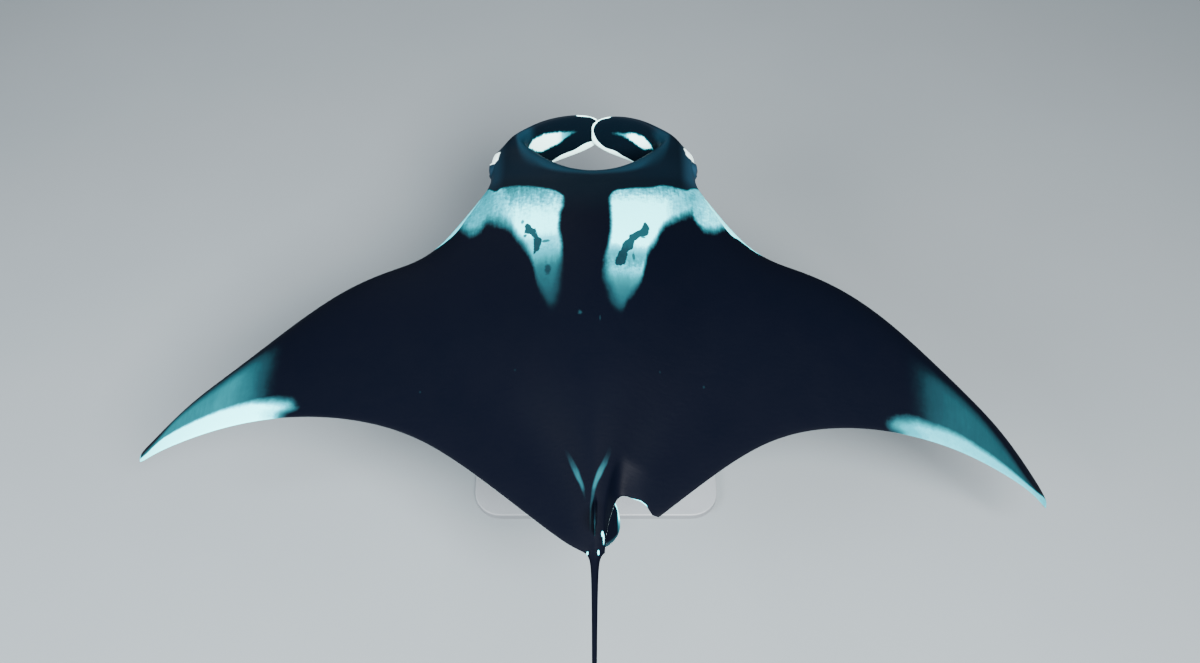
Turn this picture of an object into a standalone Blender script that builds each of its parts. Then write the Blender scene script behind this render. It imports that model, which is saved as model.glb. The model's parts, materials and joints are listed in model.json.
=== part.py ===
"""A reef manta ray, life size, gliding with both wings on the downstroke, on a plain display stand.

Metres, +Z up. The head points to -Y and the animal's left wing to +X. The origin is the centre of
the stand's underside. The animal is designed flat, in a body frame of its own: x to its left, s from
the rim of the mouth towards the tail, z up from the plane of its wings. Then it is posed (the wings
droop, the tips of the head fins cross) and parted into its named pieces by thin flat cuts.
"""

import math

import bmesh
import bpy
import numpy as np
from mathutils import Matrix, Vector

# ---- Driving dimensions -------------------------------------------------------------------------
HALF_SPAN = 1.684  # wing tip to midline, measured along the flattened wing
POSE_SPAN = 1.75  # the reach out to which the droop, the sweep and the twist are measured
WING_ROOT = 0.37  # half width of the trunk, where the wings leave it
TAIL_END = 2.64
BODY_ORIGIN_S = 0.55  # the s that stands over the centre of the base
BODY_HEIGHT = 0.80  # the plane of the wings above the floor
CUT = 0.0004  # width of a cut between two pieces

WING_ROUND = 0.02  # share of the chord that the blunt front edge takes
EDGE_HALF = 0.002  # half thickness of a trailing edge

# How each wing hangs: its slope grows out from the root as these times the share of the reach, its
# square and its cube. Sweep is how far the tip trails back. Radians and metres.
LEFT_DROOP = (0.115, 0.847, 0.15)
RIGHT_DROOP = (0.276, 0.841, 0.064)
LEFT_SWEEP = -0.092
RIGHT_SWEEP = 0.068
LEFT_TWIST = 0.67  # turns the front edge down, most of all two thirds of the way out
RIGHT_TWIST = -0.58
HEAD_LEAN = 0.010  # how far the head leans to its left

EYE_RADIUS = 0.030
EYE_CENTRE = (0.350, -0.072, 0.014)  # x, s, z
FIT = 0.0003  # gap where one solid is cut to the shape of another

BASE_SIZE = (0.90, 0.72, 0.028)
BASE_CORNER = 0.10
ROD_RADIUS = 0.021
ROD_SEGMENTS = 24
ROD_STATIONS = {"front": 0.30, "rear": 0.80}

CHARCOAL = (0.020, 0.024, 0.034, 1.0)
CREAM = (0.75, 0.78, 0.76, 1.0)
EYE_BLACK = (0.008, 0.008, 0.010, 1.0)
STAND_GREY = (0.13, 0.14, 0.15, 1.0)


# ---- Curves -------------------------------------------------------------------------------------
def curve_through(*points):
    """The natural cubic spline through (position, value) points, level beyond its ends."""
    at, value = np.array(points, float).T
    gap = np.diff(at)
    system = np.eye(len(at))
    bends = np.zeros(len(at))
    for i in range(1, len(at) - 1):
        system[i, i - 1 : i + 2] = gap[i - 1], 2 * (gap[i - 1] + gap[i]), gap[i]
        bends[i] = 6 * ((value[i + 1] - value[i]) / gap[i] - (value[i] - value[i - 1]) / gap[i - 1])
    second = np.linalg.solve(system, bends)

    def read(x):
        x = min(max(x, at[0]), at[-1])
        i = min(int(np.searchsorted(at, x, side="right")) - 1, len(gap) - 1)
        b, a = (x - at[i]) / gap[i], (at[i + 1] - x) / gap[i]
        bulge = (a**3 - a) * second[i] + (b**3 - b) * second[i + 1]
        return float(a * value[i] + b * value[i + 1] + bulge * gap[i] ** 2 / 6)

    return read


def ease(low, high, x):
    """0 up to low, 1 from high on, and smooth in between. Low may be the greater of the two."""
    t = min(max((x - low) / (high - low), 0.0), 1.0)
    return t * t * (3 - 2 * t)


def mix(a, b, t):
    return a + (b - a) * t


# ---- The flat animal ----------------------------------------------------------------------------
# Plan of the wing: s of its two edges, by the distance out along the wing.
leading_edge = curve_through(
    (0.37, 0.030), (0.45, 0.242), (0.55, 0.350), (0.69, 0.388), (0.94, 0.532), (1.19, 0.743),
    (1.385, 0.852), (1.56, 0.942), (1.64, 0.952), (HALF_SPAN, 0.962),
)
trailing_edge = curve_through(
    (0.000, 1.445), (0.060, 1.434), (0.13, 1.382), (0.205, 1.316), (0.36, 1.184), (0.52, 1.067),
    (0.70, 1.004), (0.93, 0.979), (1.20, 0.990), (1.40, 1.006), (1.56, 1.003), (1.64, 0.996),
    (HALF_SPAN, 0.982),
)
neck_line = curve_through((0.0, 0.060), (0.20, 0.042), (0.37, 0.0))

# Side view of the midline, and the thickest half of each wing section.
back_line = curve_through(
    (0.00, 0.092), (0.06, 0.112), (0.20, 0.148), (0.42, 0.178), (0.65, 0.180), (0.90, 0.148),
    (1.10, 0.104), (1.25, 0.070), (1.36, 0.046), (1.445, 0.016),
)
belly_line = curve_through(
    (0.00, 0.108), (0.06, 0.124), (0.20, 0.158), (0.45, 0.182), (0.70, 0.172), (0.95, 0.130),
    (1.15, 0.080), (1.30, 0.042), (1.445, 0.014),
)
wing_half = curve_through(
    (0.00, 0.080), (0.37, 0.076), (0.60, 0.058), (0.90, 0.040), (1.20, 0.026), (1.50, 0.013),
    (1.75, 0.005),
)
ridge_half_width = curve_through(
    (0.0, 0.52), (0.6, 0.52), (0.85, 0.40), (1.02, 0.25), (1.16, 0.13), (1.28, 0.075),
    (1.445, 0.035),
)


def wing_section(share):
    """Half thickness of the wing at this share of its chord, as a share of the thickest."""
    x = WING_ROUND + (1 - WING_ROUND) * share
    root = 2.966 * math.sqrt(x)
    return max(root - 1.259 * x - 3.512 * x**2 + 2.840 * x**3 - 1.014 * x**4, 0.0)


def trunk_bulge(u, s, crest):
    """What the trunk adds to the wing's half thickness: a flat-topped block at the neck, which
    turns into a rounded ridge further back and narrows to the tail."""
    block = math.sqrt(max(0.0, 1 - (u / 0.385) ** 2.5))
    ridge = (1 + math.cos(math.pi * min(u / ridge_half_width(s), 1.0))) / 2
    return crest * mix(block, ridge, ease(0.0, 0.42, s))


def disc_point(u, share, upper):
    """A point of the flat disc: u out from the midline, share of the way from front to rear."""
    front = neck_line(u) if u < WING_ROOT else leading_edge(u)
    s = mix(front, trailing_edge(u), share)
    profile = back_line if upper else belly_line
    plate = wing_half(u) * wing_section(share) + EDGE_HALF
    middle = wing_half(0) * wing_section(share) + EDGE_HALF
    half = plate + trunk_bulge(u, s, max(profile(s) - middle, 0.0))
    return Vector((u, s, half if upper else -half))


CHORD_SHARES = (0, 0.03, 0.09, 0.18, 0.30, 0.43, 0.56, 0.69, 0.81, 0.91, 1)
TRUNK_FRONT = (0, 0.10, 0.20, 0.29, WING_ROOT)
TRUNK_REAR = (0, 0.020, 0.062, 0.17, WING_ROOT)
WING_STEPS = 10


def columns(share):
    """How far out each lengthwise line of the cage lies, at this share of the chord."""
    trunk = [mix(a, b, share**2) for a, b in zip(TRUNK_FRONT, TRUNK_REAR)]
    reach = HALF_SPAN - WING_ROOT
    out = [WING_ROOT + reach * mix(t, math.sin(t * math.pi / 2), 0.6) for t in
           (i / WING_STEPS for i in range(1, WING_STEPS + 1))]
    return trunk + out


# Rings of the head, from the neck forwards and then back into the mouth. Each has its plan as
# (x, s) at five places from the midline to the side, and its upper and lower heights there.
HEAD_RINGS = (
    # between the eyes
    (((0, 0.028), (0.10, 0.012), (0.20, -0.012), (0.300, -0.055), (0.374, -0.060)),
     (0.106, 0.106, 0.104, 0.094, 0.045), (0.116, 0.116, 0.114, 0.104, 0.058)),
    # the brow and the cheek, where the head fins leave on the outside
    (((0, 0.006), (0.095, -0.010), (0.175, -0.056), (0.262, -0.118), (0.382, -0.127)),
     (0.096, 0.097, 0.098, 0.098, 0.050), (0.112, 0.114, 0.122, 0.134, 0.072)),
    # the rim of the mouth
    (((0, -0.006), (0.085, -0.020), (0.158, -0.060), (0.205, -0.116), (0.238, -0.128)),
     (0.078, 0.080, 0.082, 0.076, 0.030), (0.092, 0.094, 0.104, 0.118, 0.050)),
    # inside the lips
    (((0, 0.012), (0.080, -0.004), (0.148, -0.040), (0.186, -0.088), (0.200, -0.096)),
     (0.056, 0.058, 0.058, 0.044, 0.014), (0.068, 0.070, 0.074, 0.066, 0.028)),
    # the mouth's end
    (((0, 0.125), (0.070, 0.120), (0.130, 0.100), (0.170, 0.060), (0.180, 0.040)),
     (0.030, 0.030, 0.026, 0.018, 0.006), (0.040, 0.040, 0.034, 0.024, 0.012)),
)

# The head fins: each ring's middle as (x, s), the way across it, its thickness, top and bottom.
HEAD_FIN_RINGS = (
    ((0.290, -0.163), (0.94, -0.34), 0.110, 0.098, 0.136),
    ((0.244, -0.213), (0.84, -0.54), 0.052, 0.095, 0.142),
    ((0.186, -0.252), (0.52, -0.85), 0.032, 0.097, 0.138),
    ((0.120, -0.273), (0.20, -0.98), 0.026, 0.106, 0.112),
    ((0.072, -0.281), (0.06, -1.00), 0.022, 0.105, 0.084),
    ((0.036, -0.286), (0.02, -1.00), 0.020, 0.089, 0.054),
    ((0.012, -0.288), (0.00, -1.00), 0.018, 0.058, 0.022),
)
HEAD_FIN_EDGE = 0.55  # thickness of its upper and lower edges, as a share of its middle
HEAD_FIN_START = -0.13  # s from which the head fins bend inwards
HEAD_FIN_BEND = 0.20  # how far out from the midline the bend reaches
HEAD_FIN_CROSSING = {1: 0.045, -1: 0.019}  # how far each tip is carried past its place
HEAD_FIN_SHIFT = {1: -0.007, -1: 0.020}  # how far back each tip lies of its place
HEAD_FIN_SINK = {1: 0.014, -1: 0.0}  # and how far below it

# The tail: s, half width and half height.
TAIL_RINGS = (
    (1.475, 0.0125, 0.0135), (1.54, 0.0098, 0.0105), (1.66, 0.0080, 0.0084),
    (1.84, 0.0066, 0.0068), (2.04, 0.0054, 0.0054), (2.24, 0.0044, 0.0044),
    (2.44, 0.0034, 0.0034), (TAIL_END, 0.0022, 0.0022),
)


def stitch(bm, first, second, closed=False):
    """Quads between two lines of vertices of the same length."""
    count = len(first)
    for i in range(count if closed else count - 1):
        j = (i + 1) % count
        bm.faces.new((first[i], first[j], second[j], second[i]))


def add_line(bm, points):
    return [bm.verts.new(p) for p in points]


def mesh_from(bm, name):
    mesh = bpy.data.meshes.new(name)
    bm.to_mesh(mesh)
    bm.free()
    return mesh


def add_head(bm, neck):
    """The head from the neck to the lips and into the mouth. Returns the rings."""
    rings = [neck]
    for plan, over, under in HEAD_RINGS:
        upper = [(x, s, z) for (x, s), z in zip(plan, over)]
        lower = [(x, s, -z) for (x, s), z in zip(plan, under)]
        rings.append(add_line(bm, upper + lower[::-1]))
    cheek, rim = rings[2], rings[3]
    for back, front in zip(rings, rings[1:]):
        if back is cheek:  # the side is left open there, for the head fin
            stitch(bm, back[:4], front[:4])
            stitch(bm, back[6:], front[6:])
        else:
            stitch(bm, back, front)
    end = rings[-1]
    stitch(bm, end[:5], end[:4:-1])
    return cheek[3:7] + rim[6:2:-1]


def add_head_fin(bm, root):
    """A blade that leaves the side of the head, turns inwards and ends at the midline."""
    ring = root
    for (x, s), across, thick, top, bottom in HEAD_FIN_RINGS:
        across = Vector((*across, 0)).normalized()
        middle = Vector((x, s, 0))
        line = []
        for side, heights in ((0.5, (0, 1, 2, 3)), (-0.5, (3, 2, 1, 0))):
            for step in heights:
                fat = 1.0 if step in (1, 2) else HEAD_FIN_EDGE
                height = mix(top, -bottom, step / 3)
                line.append(middle + across * thick * fat * side + Vector((0, 0, height)))
        new = add_line(bm, line)
        stitch(bm, ring, new, closed=True)
        ring = new
    stitch(bm, ring[:4], ring[:3:-1])


def add_tail(bm, root):
    """A whip of diamond-shaped rings, which the subdivision rounds. Half of it, as of the body."""
    ring = root
    for s, wide, tall in TAIL_RINGS:
        points = ((0, s, tall), (wide, s, tall * 0.5), (wide, s, -tall * 0.5), (0, s, -tall))
        new = add_line(bm, points)
        stitch(bm, ring, new)
        ring = new
    bm.faces.new(ring)


def body_cage():
    """The left half of the flat animal, open at the midline, as a coarse cage."""
    bm = bmesh.new()
    upper, lower = (
        [add_line(bm, [disc_point(u, share, up) for u in columns(share)]) for share in CHORD_SHARES]
        for up in (True, False)
    )
    for sheet in (upper, lower):
        for front, back in zip(sheet, sheet[1:]):
            stitch(bm, front, back)
    root = len(TRUNK_FRONT) - 1
    stitch(bm, upper[0][root:], lower[0][root:])
    stitch(bm, upper[-1][1:], lower[-1][1:])
    stitch(bm, [row[-1] for row in upper], [row[-1] for row in lower])
    head_fin_root = add_head(bm, upper[0][: root + 1] + lower[0][root::-1])
    add_head_fin(bm, head_fin_root)
    add_tail(bm, [upper[-1][0], upper[-1][1], lower[-1][1], lower[-1][0]])
    bmesh.ops.recalc_face_normals(bm, faces=bm.faces)
    return mesh_from(bm, "body_cage")


# ---- The pose -----------------------------------------------------------------------------------
DROOP_STEPS = 60


def droop_line(droop):
    """Where the wing's middle runs, from its root out: (x, z, slope) at even steps."""
    step = (POSE_SPAN - WING_ROOT) / DROOP_STEPS
    x, z, line = WING_ROOT, 0.0, []
    for i in range(DROOP_STEPS + 1):
        t = i / DROOP_STEPS
        slope = droop[0] * t + droop[1] * t**2 + droop[2] * t**3
        line.append((x, z, slope))
        x += step * math.cos(slope)
        z -= step * math.sin(slope)
    return line


DROOP_LINES = {1: droop_line(LEFT_DROOP), -1: droop_line(RIGHT_DROOP)}
SWEEPS = {1: LEFT_SWEEP, -1: RIGHT_SWEEP}
TWISTS = {1: LEFT_TWIST, -1: RIGHT_TWIST}

# The old bite in the right wing's rear corner: the s of its edge, by the distance out.
bite_edge = curve_through((0.030, 1.400), (0.052, 1.305), (0.110, 1.270), (0.150, 1.292),
                          (0.176, 1.344))
BITE_REACH = (0.030, 0.178)
BITE_TAPER = 0.10


def bitten(point):
    """Draws the rear corner of the right wing forwards to the edge of the bite."""
    x, s, z = point
    if BITE_REACH[0] < -x < BITE_REACH[1]:
        edge, rear = bite_edge(-x), trailing_edge(-x)
        start = edge - BITE_TAPER
        if s > start:
            s = start + (s - start) / (rear - start) * (edge - start)
    return Vector((x, s, z))


def posed(point):
    """Where a point of the flat animal goes in the pose, in the frame of the finished part."""
    x, s, z = point
    side = 1 if x >= 0 else -1
    u = abs(x)
    lean = HEAD_LEAN * ease(0.60, 0.20, s)
    if u > WING_ROOT:
        t = (u - WING_ROOT) / (POSE_SPAN - WING_ROOT)
        z += TWISTS[side] * t * t * (1 - t) * (s - (leading_edge(u) + trailing_edge(u)) / 2)
        place = min(t, 1.0) * DROOP_STEPS
        i = min(int(place), DROOP_STEPS - 1)
        ax, az, slope = (mix(a, b, place - i) for a, b in
                         zip(DROOP_LINES[side][i], DROOP_LINES[side][i + 1]))
        x = side * (ax + z * math.sin(slope))
        z = az + z * math.cos(slope)
        s += SWEEPS[side] * t * t
    if s < HEAD_FIN_START:  # the tip of the right fin crosses behind that of the left one
        along = ease(HEAD_FIN_BEND, 0.0, u)
        x -= side * HEAD_FIN_CROSSING[side] * along
        s += HEAD_FIN_SHIFT[side] * along
        z -= HEAD_FIN_SINK[side] * along
    return Vector((x + lean, s - BODY_ORIGIN_S, z + BODY_HEIGHT))


# ---- Building and parting -----------------------------------------------------------------------
def material(name, colour, roughness, metallic=0.0):
    made = bpy.data.materials.new(name)
    made.use_nodes = True
    shader = made.node_tree.nodes["Principled BSDF"]
    shader.inputs["Base Color"].default_value = colour
    shader.inputs["Roughness"].default_value = roughness
    shader.inputs["Metallic"].default_value = metallic
    made.diffuse_color = colour
    return made


def add_object(name, mesh, collection, finish=None):
    obj = bpy.data.objects.new(name, mesh)
    collection.objects.link(obj)
    if finish:
        mesh.materials.clear()
        mesh.materials.append(finish)
    return obj


def as_mesh(obj):
    """The object as its modifiers leave it, as a new mesh in world space."""
    bpy.context.view_layer.update()
    evaluated = obj.evaluated_get(bpy.context.evaluated_depsgraph_get())
    mesh = bpy.data.meshes.new_from_object(evaluated)
    mesh.transform(obj.matrix_world)
    return mesh


def whole_body(helpers):
    """The posed animal as one closed mesh."""
    cage = add_object("body_cage", body_cage(), helpers)
    mirror = cage.modifiers.new("Mirror", "MIRROR")
    mirror.merge_threshold = 0.0001
    smooth = cage.modifiers.new("Subdivision", "SUBSURF")
    smooth.levels = smooth.render_levels = 1
    mesh = as_mesh(cage)
    for vertex in mesh.vertices:
        vertex.co = posed(bitten(vertex.co))
    return mesh


def slice_off(bm, point, normal):
    """Keeps what lies behind the plane and closes the cut."""
    geometry = bm.verts[:] + bm.edges[:] + bm.faces[:]
    cut = bmesh.ops.bisect_plane(bm, geom=geometry, plane_co=point, plane_no=normal,
                                 dist=1e-6, clear_outer=True)
    edges = [e for e in cut["geom_cut"] if isinstance(e, bmesh.types.BMEdge)]
    bmesh.ops.holes_fill(bm, edges=edges, sides=0)


def islands(bm):
    """The vertices of each connected piece."""
    left, found = set(bm.verts), []
    while left:
        reached, edge = set(), [next(iter(left))]
        while edge:
            vertex = edge.pop()
            if vertex not in reached:
                reached.add(vertex)
                edge += [e.other_vert(vertex) for e in vertex.link_edges]
        left -= reached
        found.append(reached)
    return found


def piece_of(body, planes, keep=None):
    """The part of the body behind all the planes. keep picks one island by its middle point."""
    bm = bmesh.new()
    bm.from_mesh(body)
    for point, normal in planes:
        slice_off(bm, Vector(point) - Vector(normal) * CUT / 2, normal)
    if keep:
        for island in islands(bm):
            middle = sum((v.co for v in island), Vector()) / len(island)
            if not keep(middle):
                bmesh.ops.delete(bm, geom=list(island), context="VERTS")
    bmesh.ops.recalc_face_normals(bm, faces=bm.faces)
    return mesh_from(bm, "piece")


def swollen(mesh, by):
    """A copy of a closed mesh, grown along its normals, as a cutter that leaves a gap."""
    copy = mesh.copy()
    normals = [v.normal.copy() for v in copy.vertices]
    for vertex, normal in zip(copy.vertices, normals):
        vertex.co += normal * by
    return copy


def cut_away(obj, cutter_mesh, helpers, name):
    boolean = obj.modifiers.new(name, "BOOLEAN")
    boolean.operation = "DIFFERENCE"
    boolean.solver = "EXACT"
    boolean.object = add_object(name, cutter_mesh, helpers)


def apply_cuts(obj):
    """Makes the cuts part of the mesh, and keeps its largest piece."""
    mesh = as_mesh(obj)
    obj.modifiers.clear()
    bm = bmesh.new()
    bm.from_mesh(mesh)
    crumbs = sorted(islands(bm), key=len)[:-1]
    for crumb in crumbs:
        bmesh.ops.delete(bm, geom=list(crumb), context="VERTS")
    obj.data = mesh_from(bm, obj.name)


def y_of(s):
    return s - BODY_ORIGIN_S


SIDES = (("left", 1), ("right", -1))


NECK_CUT = 0.15
HEAD_FIN_CUT = -0.135
WING_CUT = 0.40
JAW_CUT = BODY_HEIGHT - 0.040
TAIL_CUTS = (1.462, 1.84, 2.24)

AHEAD, ASTERN = (0, -1, 0), (0, 1, 0)
LEFTWARDS, RIGHTWARDS = (1, 0, 0), (-1, 0, 0)
UP, DOWN = (0, 0, 1), (0, 0, -1)


def body_pieces():
    """Each piece's planes: what lies in front of a plane, along its normal, is taken off."""
    neck, brow = (0, y_of(NECK_CUT), 0), (0, y_of(HEAD_FIN_CUT), 0)
    left, right = (WING_CUT, 0, 0), (-WING_CUT, 0, 0)
    tails = [(0, y_of(s), 0) for s in TAIL_CUTS]
    jaw = (0, 0, JAW_CUT)
    sides = [(left, LEFTWARDS), (right, RIGHTWARDS)]
    return {
        "head": ([(neck, ASTERN), (brow, AHEAD), (jaw, DOWN)] + sides, None),
        "lower_jaw": ([(neck, ASTERN), (brow, AHEAD), (jaw, UP)] + sides, None),
        "cephalic_fin_left": ([(brow, ASTERN)], lambda middle: middle.x > 0),
        "cephalic_fin_right": ([(brow, ASTERN)], lambda middle: middle.x < 0),
        "trunk": ([(neck, AHEAD), (tails[0], ASTERN)] + sides, None),
        "pectoral_fin_left": ([(left, RIGHTWARDS)], None),
        "pectoral_fin_right": ([(right, LEFTWARDS)], None),
        "tail_base": ([(tails[0], AHEAD), (tails[1], ASTERN)], None),
        "tail_middle": ([(tails[1], AHEAD), (tails[2], ASTERN)], None),
        "tail_tip": ([(tails[2], AHEAD)], None),
    }


# Each small fin by its ribs: (distance out, front, rear, half thickness).
PELVIC_RIBS = (
    (0.008, 1.205, 1.428, 0.0070), (0.030, 1.215, 1.412, 0.0065), (0.050, 1.238, 1.396, 0.0055),
    (0.062, 1.262, 1.380, 0.0040), (0.071, 1.300, 1.358, 0.0025), (0.074, 1.322, 1.344, 0.0015),
)
PELVIC_HEIGHT = -0.034
PELVIC_RISE = 0.10  # upwards towards the tail
DORSAL_RIBS = (
    (-0.010, 1.235, 1.400, 0.0080), (0.030, 1.258, 1.400, 0.0070), (0.056, 1.300, 1.402, 0.0055),
    (0.078, 1.338, 1.406, 0.0040), (0.092, 1.368, 1.408, 0.0025), (0.097, 1.384, 1.404, 0.0015),
)
RIB_SHARES = (0, 0.06, 0.22, 0.45, 0.72, 1)
FIN_EDGE_HALF = 0.0008


def foil_fin(ribs, place):
    """A closed blade with a rounded front edge. place turns (out, s, across) into x, s, z."""
    bm = bmesh.new()
    sheets = []
    for side in (1, -1):
        sheet = []
        for out, front, rear, half in ribs:
            line = []
            for share in RIB_SHARES:
                across = side * (half * wing_section(share) + FIN_EDGE_HALF)
                line.append(posed(place(out, mix(front, rear, share), across)))
            sheet.append(add_line(bm, line))
        sheets.append(sheet)
        for inner, outer in zip(sheet, sheet[1:]):
            stitch(bm, inner, outer)
    upper, lower = sheets
    for end in (0, -1):
        stitch(bm, upper[end], lower[end])
        stitch(bm, [line[end] for line in upper], [line[end] for line in lower])
    bmesh.ops.recalc_face_normals(bm, faces=bm.faces)
    return mesh_from(bm, "foil_fin")


def pelvic_fin(side):
    def place(out, s, across):
        return Vector((side * out, s, PELVIC_HEIGHT + PELVIC_RISE * (s - 1.30) + across))

    return foil_fin(PELVIC_RIBS, place)


def dorsal_fin():
    return foil_fin(DORSAL_RIBS, lambda out, s, across: Vector((across + 1e-5, s, out)))


BALL_SEGMENTS, BALL_RINGS = 14, 9


def ball(radius, centre):
    bm = bmesh.new()
    bmesh.ops.create_uvsphere(bm, u_segments=BALL_SEGMENTS, v_segments=BALL_RINGS, radius=radius)
    bmesh.ops.rotate(bm, matrix=Matrix.Rotation(math.pi / 2, 3, "Y"), verts=bm.verts)
    bmesh.ops.translate(bm, vec=centre, verts=bm.verts)
    return mesh_from(bm, "ball")


def add_eyes(part, helpers, finish):
    """Each eye is a ball, and the head has a socket that fits it."""
    x, s, z = EYE_CENTRE
    head = part.objects["head"]
    for name, side in SIDES:
        centre = posed(Vector((side * x, s, z)))
        add_object(f"eye_{name}", ball(EYE_RADIUS, centre), part, finish)
        cut_away(head, ball(EYE_RADIUS + FIT, centre), helpers, f"socket_{name}")
    apply_cuts(head)


def add_small_fins(part, helpers, finish):
    """The pelvic fins and the dorsal fin, each cut to the shape of the trunk it stands on."""
    trunk = part.objects["trunk"].data
    blades = {f"pelvic_fin_{name}": pelvic_fin(side) for name, side in SIDES}
    blades["dorsal_fin"] = dorsal_fin()
    for name, mesh in blades.items():
        fin = add_object(name, mesh, part, finish)
        cut_away(fin, swollen(trunk, FIT), helpers, f"bed_of_{name}")
        apply_cuts(fin)


def add_stand(part, helpers, finish):
    """A flat base with rounded corners, and two rods that reach up to the belly."""
    wide, deep, thick = BASE_SIZE
    bm = bmesh.new()
    bmesh.ops.create_cube(bm, size=1.0)
    bmesh.ops.scale(bm, vec=(wide, deep, thick), verts=bm.verts)
    bmesh.ops.translate(bm, vec=(0, 0, thick / 2), verts=bm.verts)
    upright = [e for e in bm.edges if abs(e.verts[0].co.z - e.verts[1].co.z) > thick / 2]
    bmesh.ops.bevel(bm, geom=upright, offset=BASE_CORNER, segments=8, profile=0.5,
                    affect="EDGES")
    rim = [e for e in bm.edges if min(v.co.z for v in e.verts) > thick * 0.99]
    bmesh.ops.bevel(bm, geom=rim, offset=0.004, segments=2, profile=0.5, affect="EDGES")
    add_object("stand_base", mesh_from(bm, "stand_base"), part, finish)

    trunk = part.objects["trunk"].data
    for name, s in ROD_STATIONS.items():
        bottom, top = thick + FIT, BODY_HEIGHT
        bm = bmesh.new()
        bmesh.ops.create_cone(bm, cap_ends=True, segments=ROD_SEGMENTS, radius1=ROD_RADIUS,
                              radius2=ROD_RADIUS, depth=top - bottom)
        bmesh.ops.translate(bm, vec=(0, y_of(s), (top + bottom) / 2), verts=bm.verts)
        rod = add_object(f"stand_rod_{name}", mesh_from(bm, "rod"), part, finish)
        cut_away(rod, swollen(trunk, FIT), helpers, f"seat_{name}")
        apply_cuts(rod)


def main():
    for obj in list(bpy.data.objects):
        bpy.data.objects.remove(obj)
    part = bpy.data.collections.new("manta_ray")
    helpers = bpy.data.collections.new("helpers")
    bpy.context.scene.collection.children.link(part)
    bpy.context.scene.collection.children.link(helpers)

    skin = material("skin_dark", CHARCOAL, 0.45)
    pale = material("skin_pale", CREAM, 0.45)
    body = whole_body(helpers)
    for name, (planes, keep) in body_pieces().items():
        finish = pale if name == "lower_jaw" else skin
        add_object(name, piece_of(body, planes, keep), part, finish)
    add_eyes(part, helpers, material("eye_gloss", EYE_BLACK, 0.08))
    add_small_fins(part, helpers, skin)
    add_stand(part, helpers, material("stand_paint", STAND_GREY, 0.5))
    for helper in helpers.objects:
        helper.hide_render = True
        helper.display_type = "WIRE"


main()
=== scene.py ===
"""The looks of the reef manta ray: one skin over the whole animal, its eyes, and the finish of its stand.

Metres, +Z up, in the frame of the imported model. The head points to -Y and the left wing to +X. The skin
is shaped flat first, in the animal's own frame: x to its left, s from the rim of the mouth towards the
tail, z up from the plane of its wings, and u how far out a place lies on either side. Its markings are
drawn in that flat frame too, then it is posed.
"""

import json
import math

import bmesh
import bpy
import numpy as np
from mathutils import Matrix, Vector

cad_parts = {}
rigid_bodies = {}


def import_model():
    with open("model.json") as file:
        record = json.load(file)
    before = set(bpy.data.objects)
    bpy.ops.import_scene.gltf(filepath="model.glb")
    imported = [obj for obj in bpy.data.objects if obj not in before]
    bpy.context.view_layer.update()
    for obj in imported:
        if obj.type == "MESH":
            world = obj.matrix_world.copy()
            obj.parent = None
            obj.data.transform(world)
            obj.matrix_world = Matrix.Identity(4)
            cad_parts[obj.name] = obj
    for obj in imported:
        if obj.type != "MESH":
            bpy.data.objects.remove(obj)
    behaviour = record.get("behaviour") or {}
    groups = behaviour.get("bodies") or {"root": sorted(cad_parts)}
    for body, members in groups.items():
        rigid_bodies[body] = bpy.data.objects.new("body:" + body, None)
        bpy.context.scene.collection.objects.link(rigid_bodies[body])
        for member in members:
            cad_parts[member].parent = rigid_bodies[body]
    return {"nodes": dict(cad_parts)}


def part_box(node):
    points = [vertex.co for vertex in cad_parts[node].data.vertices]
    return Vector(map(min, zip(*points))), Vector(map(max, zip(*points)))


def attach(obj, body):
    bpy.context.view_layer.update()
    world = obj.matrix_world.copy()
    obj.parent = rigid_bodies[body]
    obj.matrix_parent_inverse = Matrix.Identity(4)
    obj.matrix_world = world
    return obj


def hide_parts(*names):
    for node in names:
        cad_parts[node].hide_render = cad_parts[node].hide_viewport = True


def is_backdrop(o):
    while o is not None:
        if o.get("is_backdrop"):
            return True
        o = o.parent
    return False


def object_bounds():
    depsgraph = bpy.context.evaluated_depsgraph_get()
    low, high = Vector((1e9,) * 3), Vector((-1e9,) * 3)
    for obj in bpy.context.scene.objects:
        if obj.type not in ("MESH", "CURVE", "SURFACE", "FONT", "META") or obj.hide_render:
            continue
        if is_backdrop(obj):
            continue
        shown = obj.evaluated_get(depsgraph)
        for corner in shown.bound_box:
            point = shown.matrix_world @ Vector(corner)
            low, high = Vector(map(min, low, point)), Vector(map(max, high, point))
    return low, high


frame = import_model()
CAD_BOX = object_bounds()

# ---- Sizes of the animal, as its solids have them -------------------------------------------------
HALF_SPAN = 1.684
POSE_SPAN = 1.75  # the bend of a wing is worked out to here, a little past its tip
WING_ROOT = 0.37
TAIL_END = 2.64
BODY_ORIGIN_S = 0.55  # the s that stands at y = 0
BODY_HEIGHT = 0.80
WING_ROUND = 0.02  # share of the wing's section that is cut off for a blunt front edge
EDGE_HALF = 0.002
# The pose of each wing, by side: how its slope grows outwards (three powers), its sweep and its twist.
DROOPS = {1: (0.115, 0.847, 0.15), -1: (0.276, 0.841, 0.064)}
SWEEPS = {1: -0.092, -1: 0.068}
TWISTS = {1: 0.67, -1: -0.58}
HEAD_LEAN = 0.010
HEAD_LEAN_FADE = (0.60, 0.20)
EYE_RADIUS = 0.030
EYE_CENTRE = (0.350, -0.072, 0.014)
SIDES = (("left", 1), ("right", -1))

SKIN_LEVELS = 3
FINE_GILLS = 2


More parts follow.
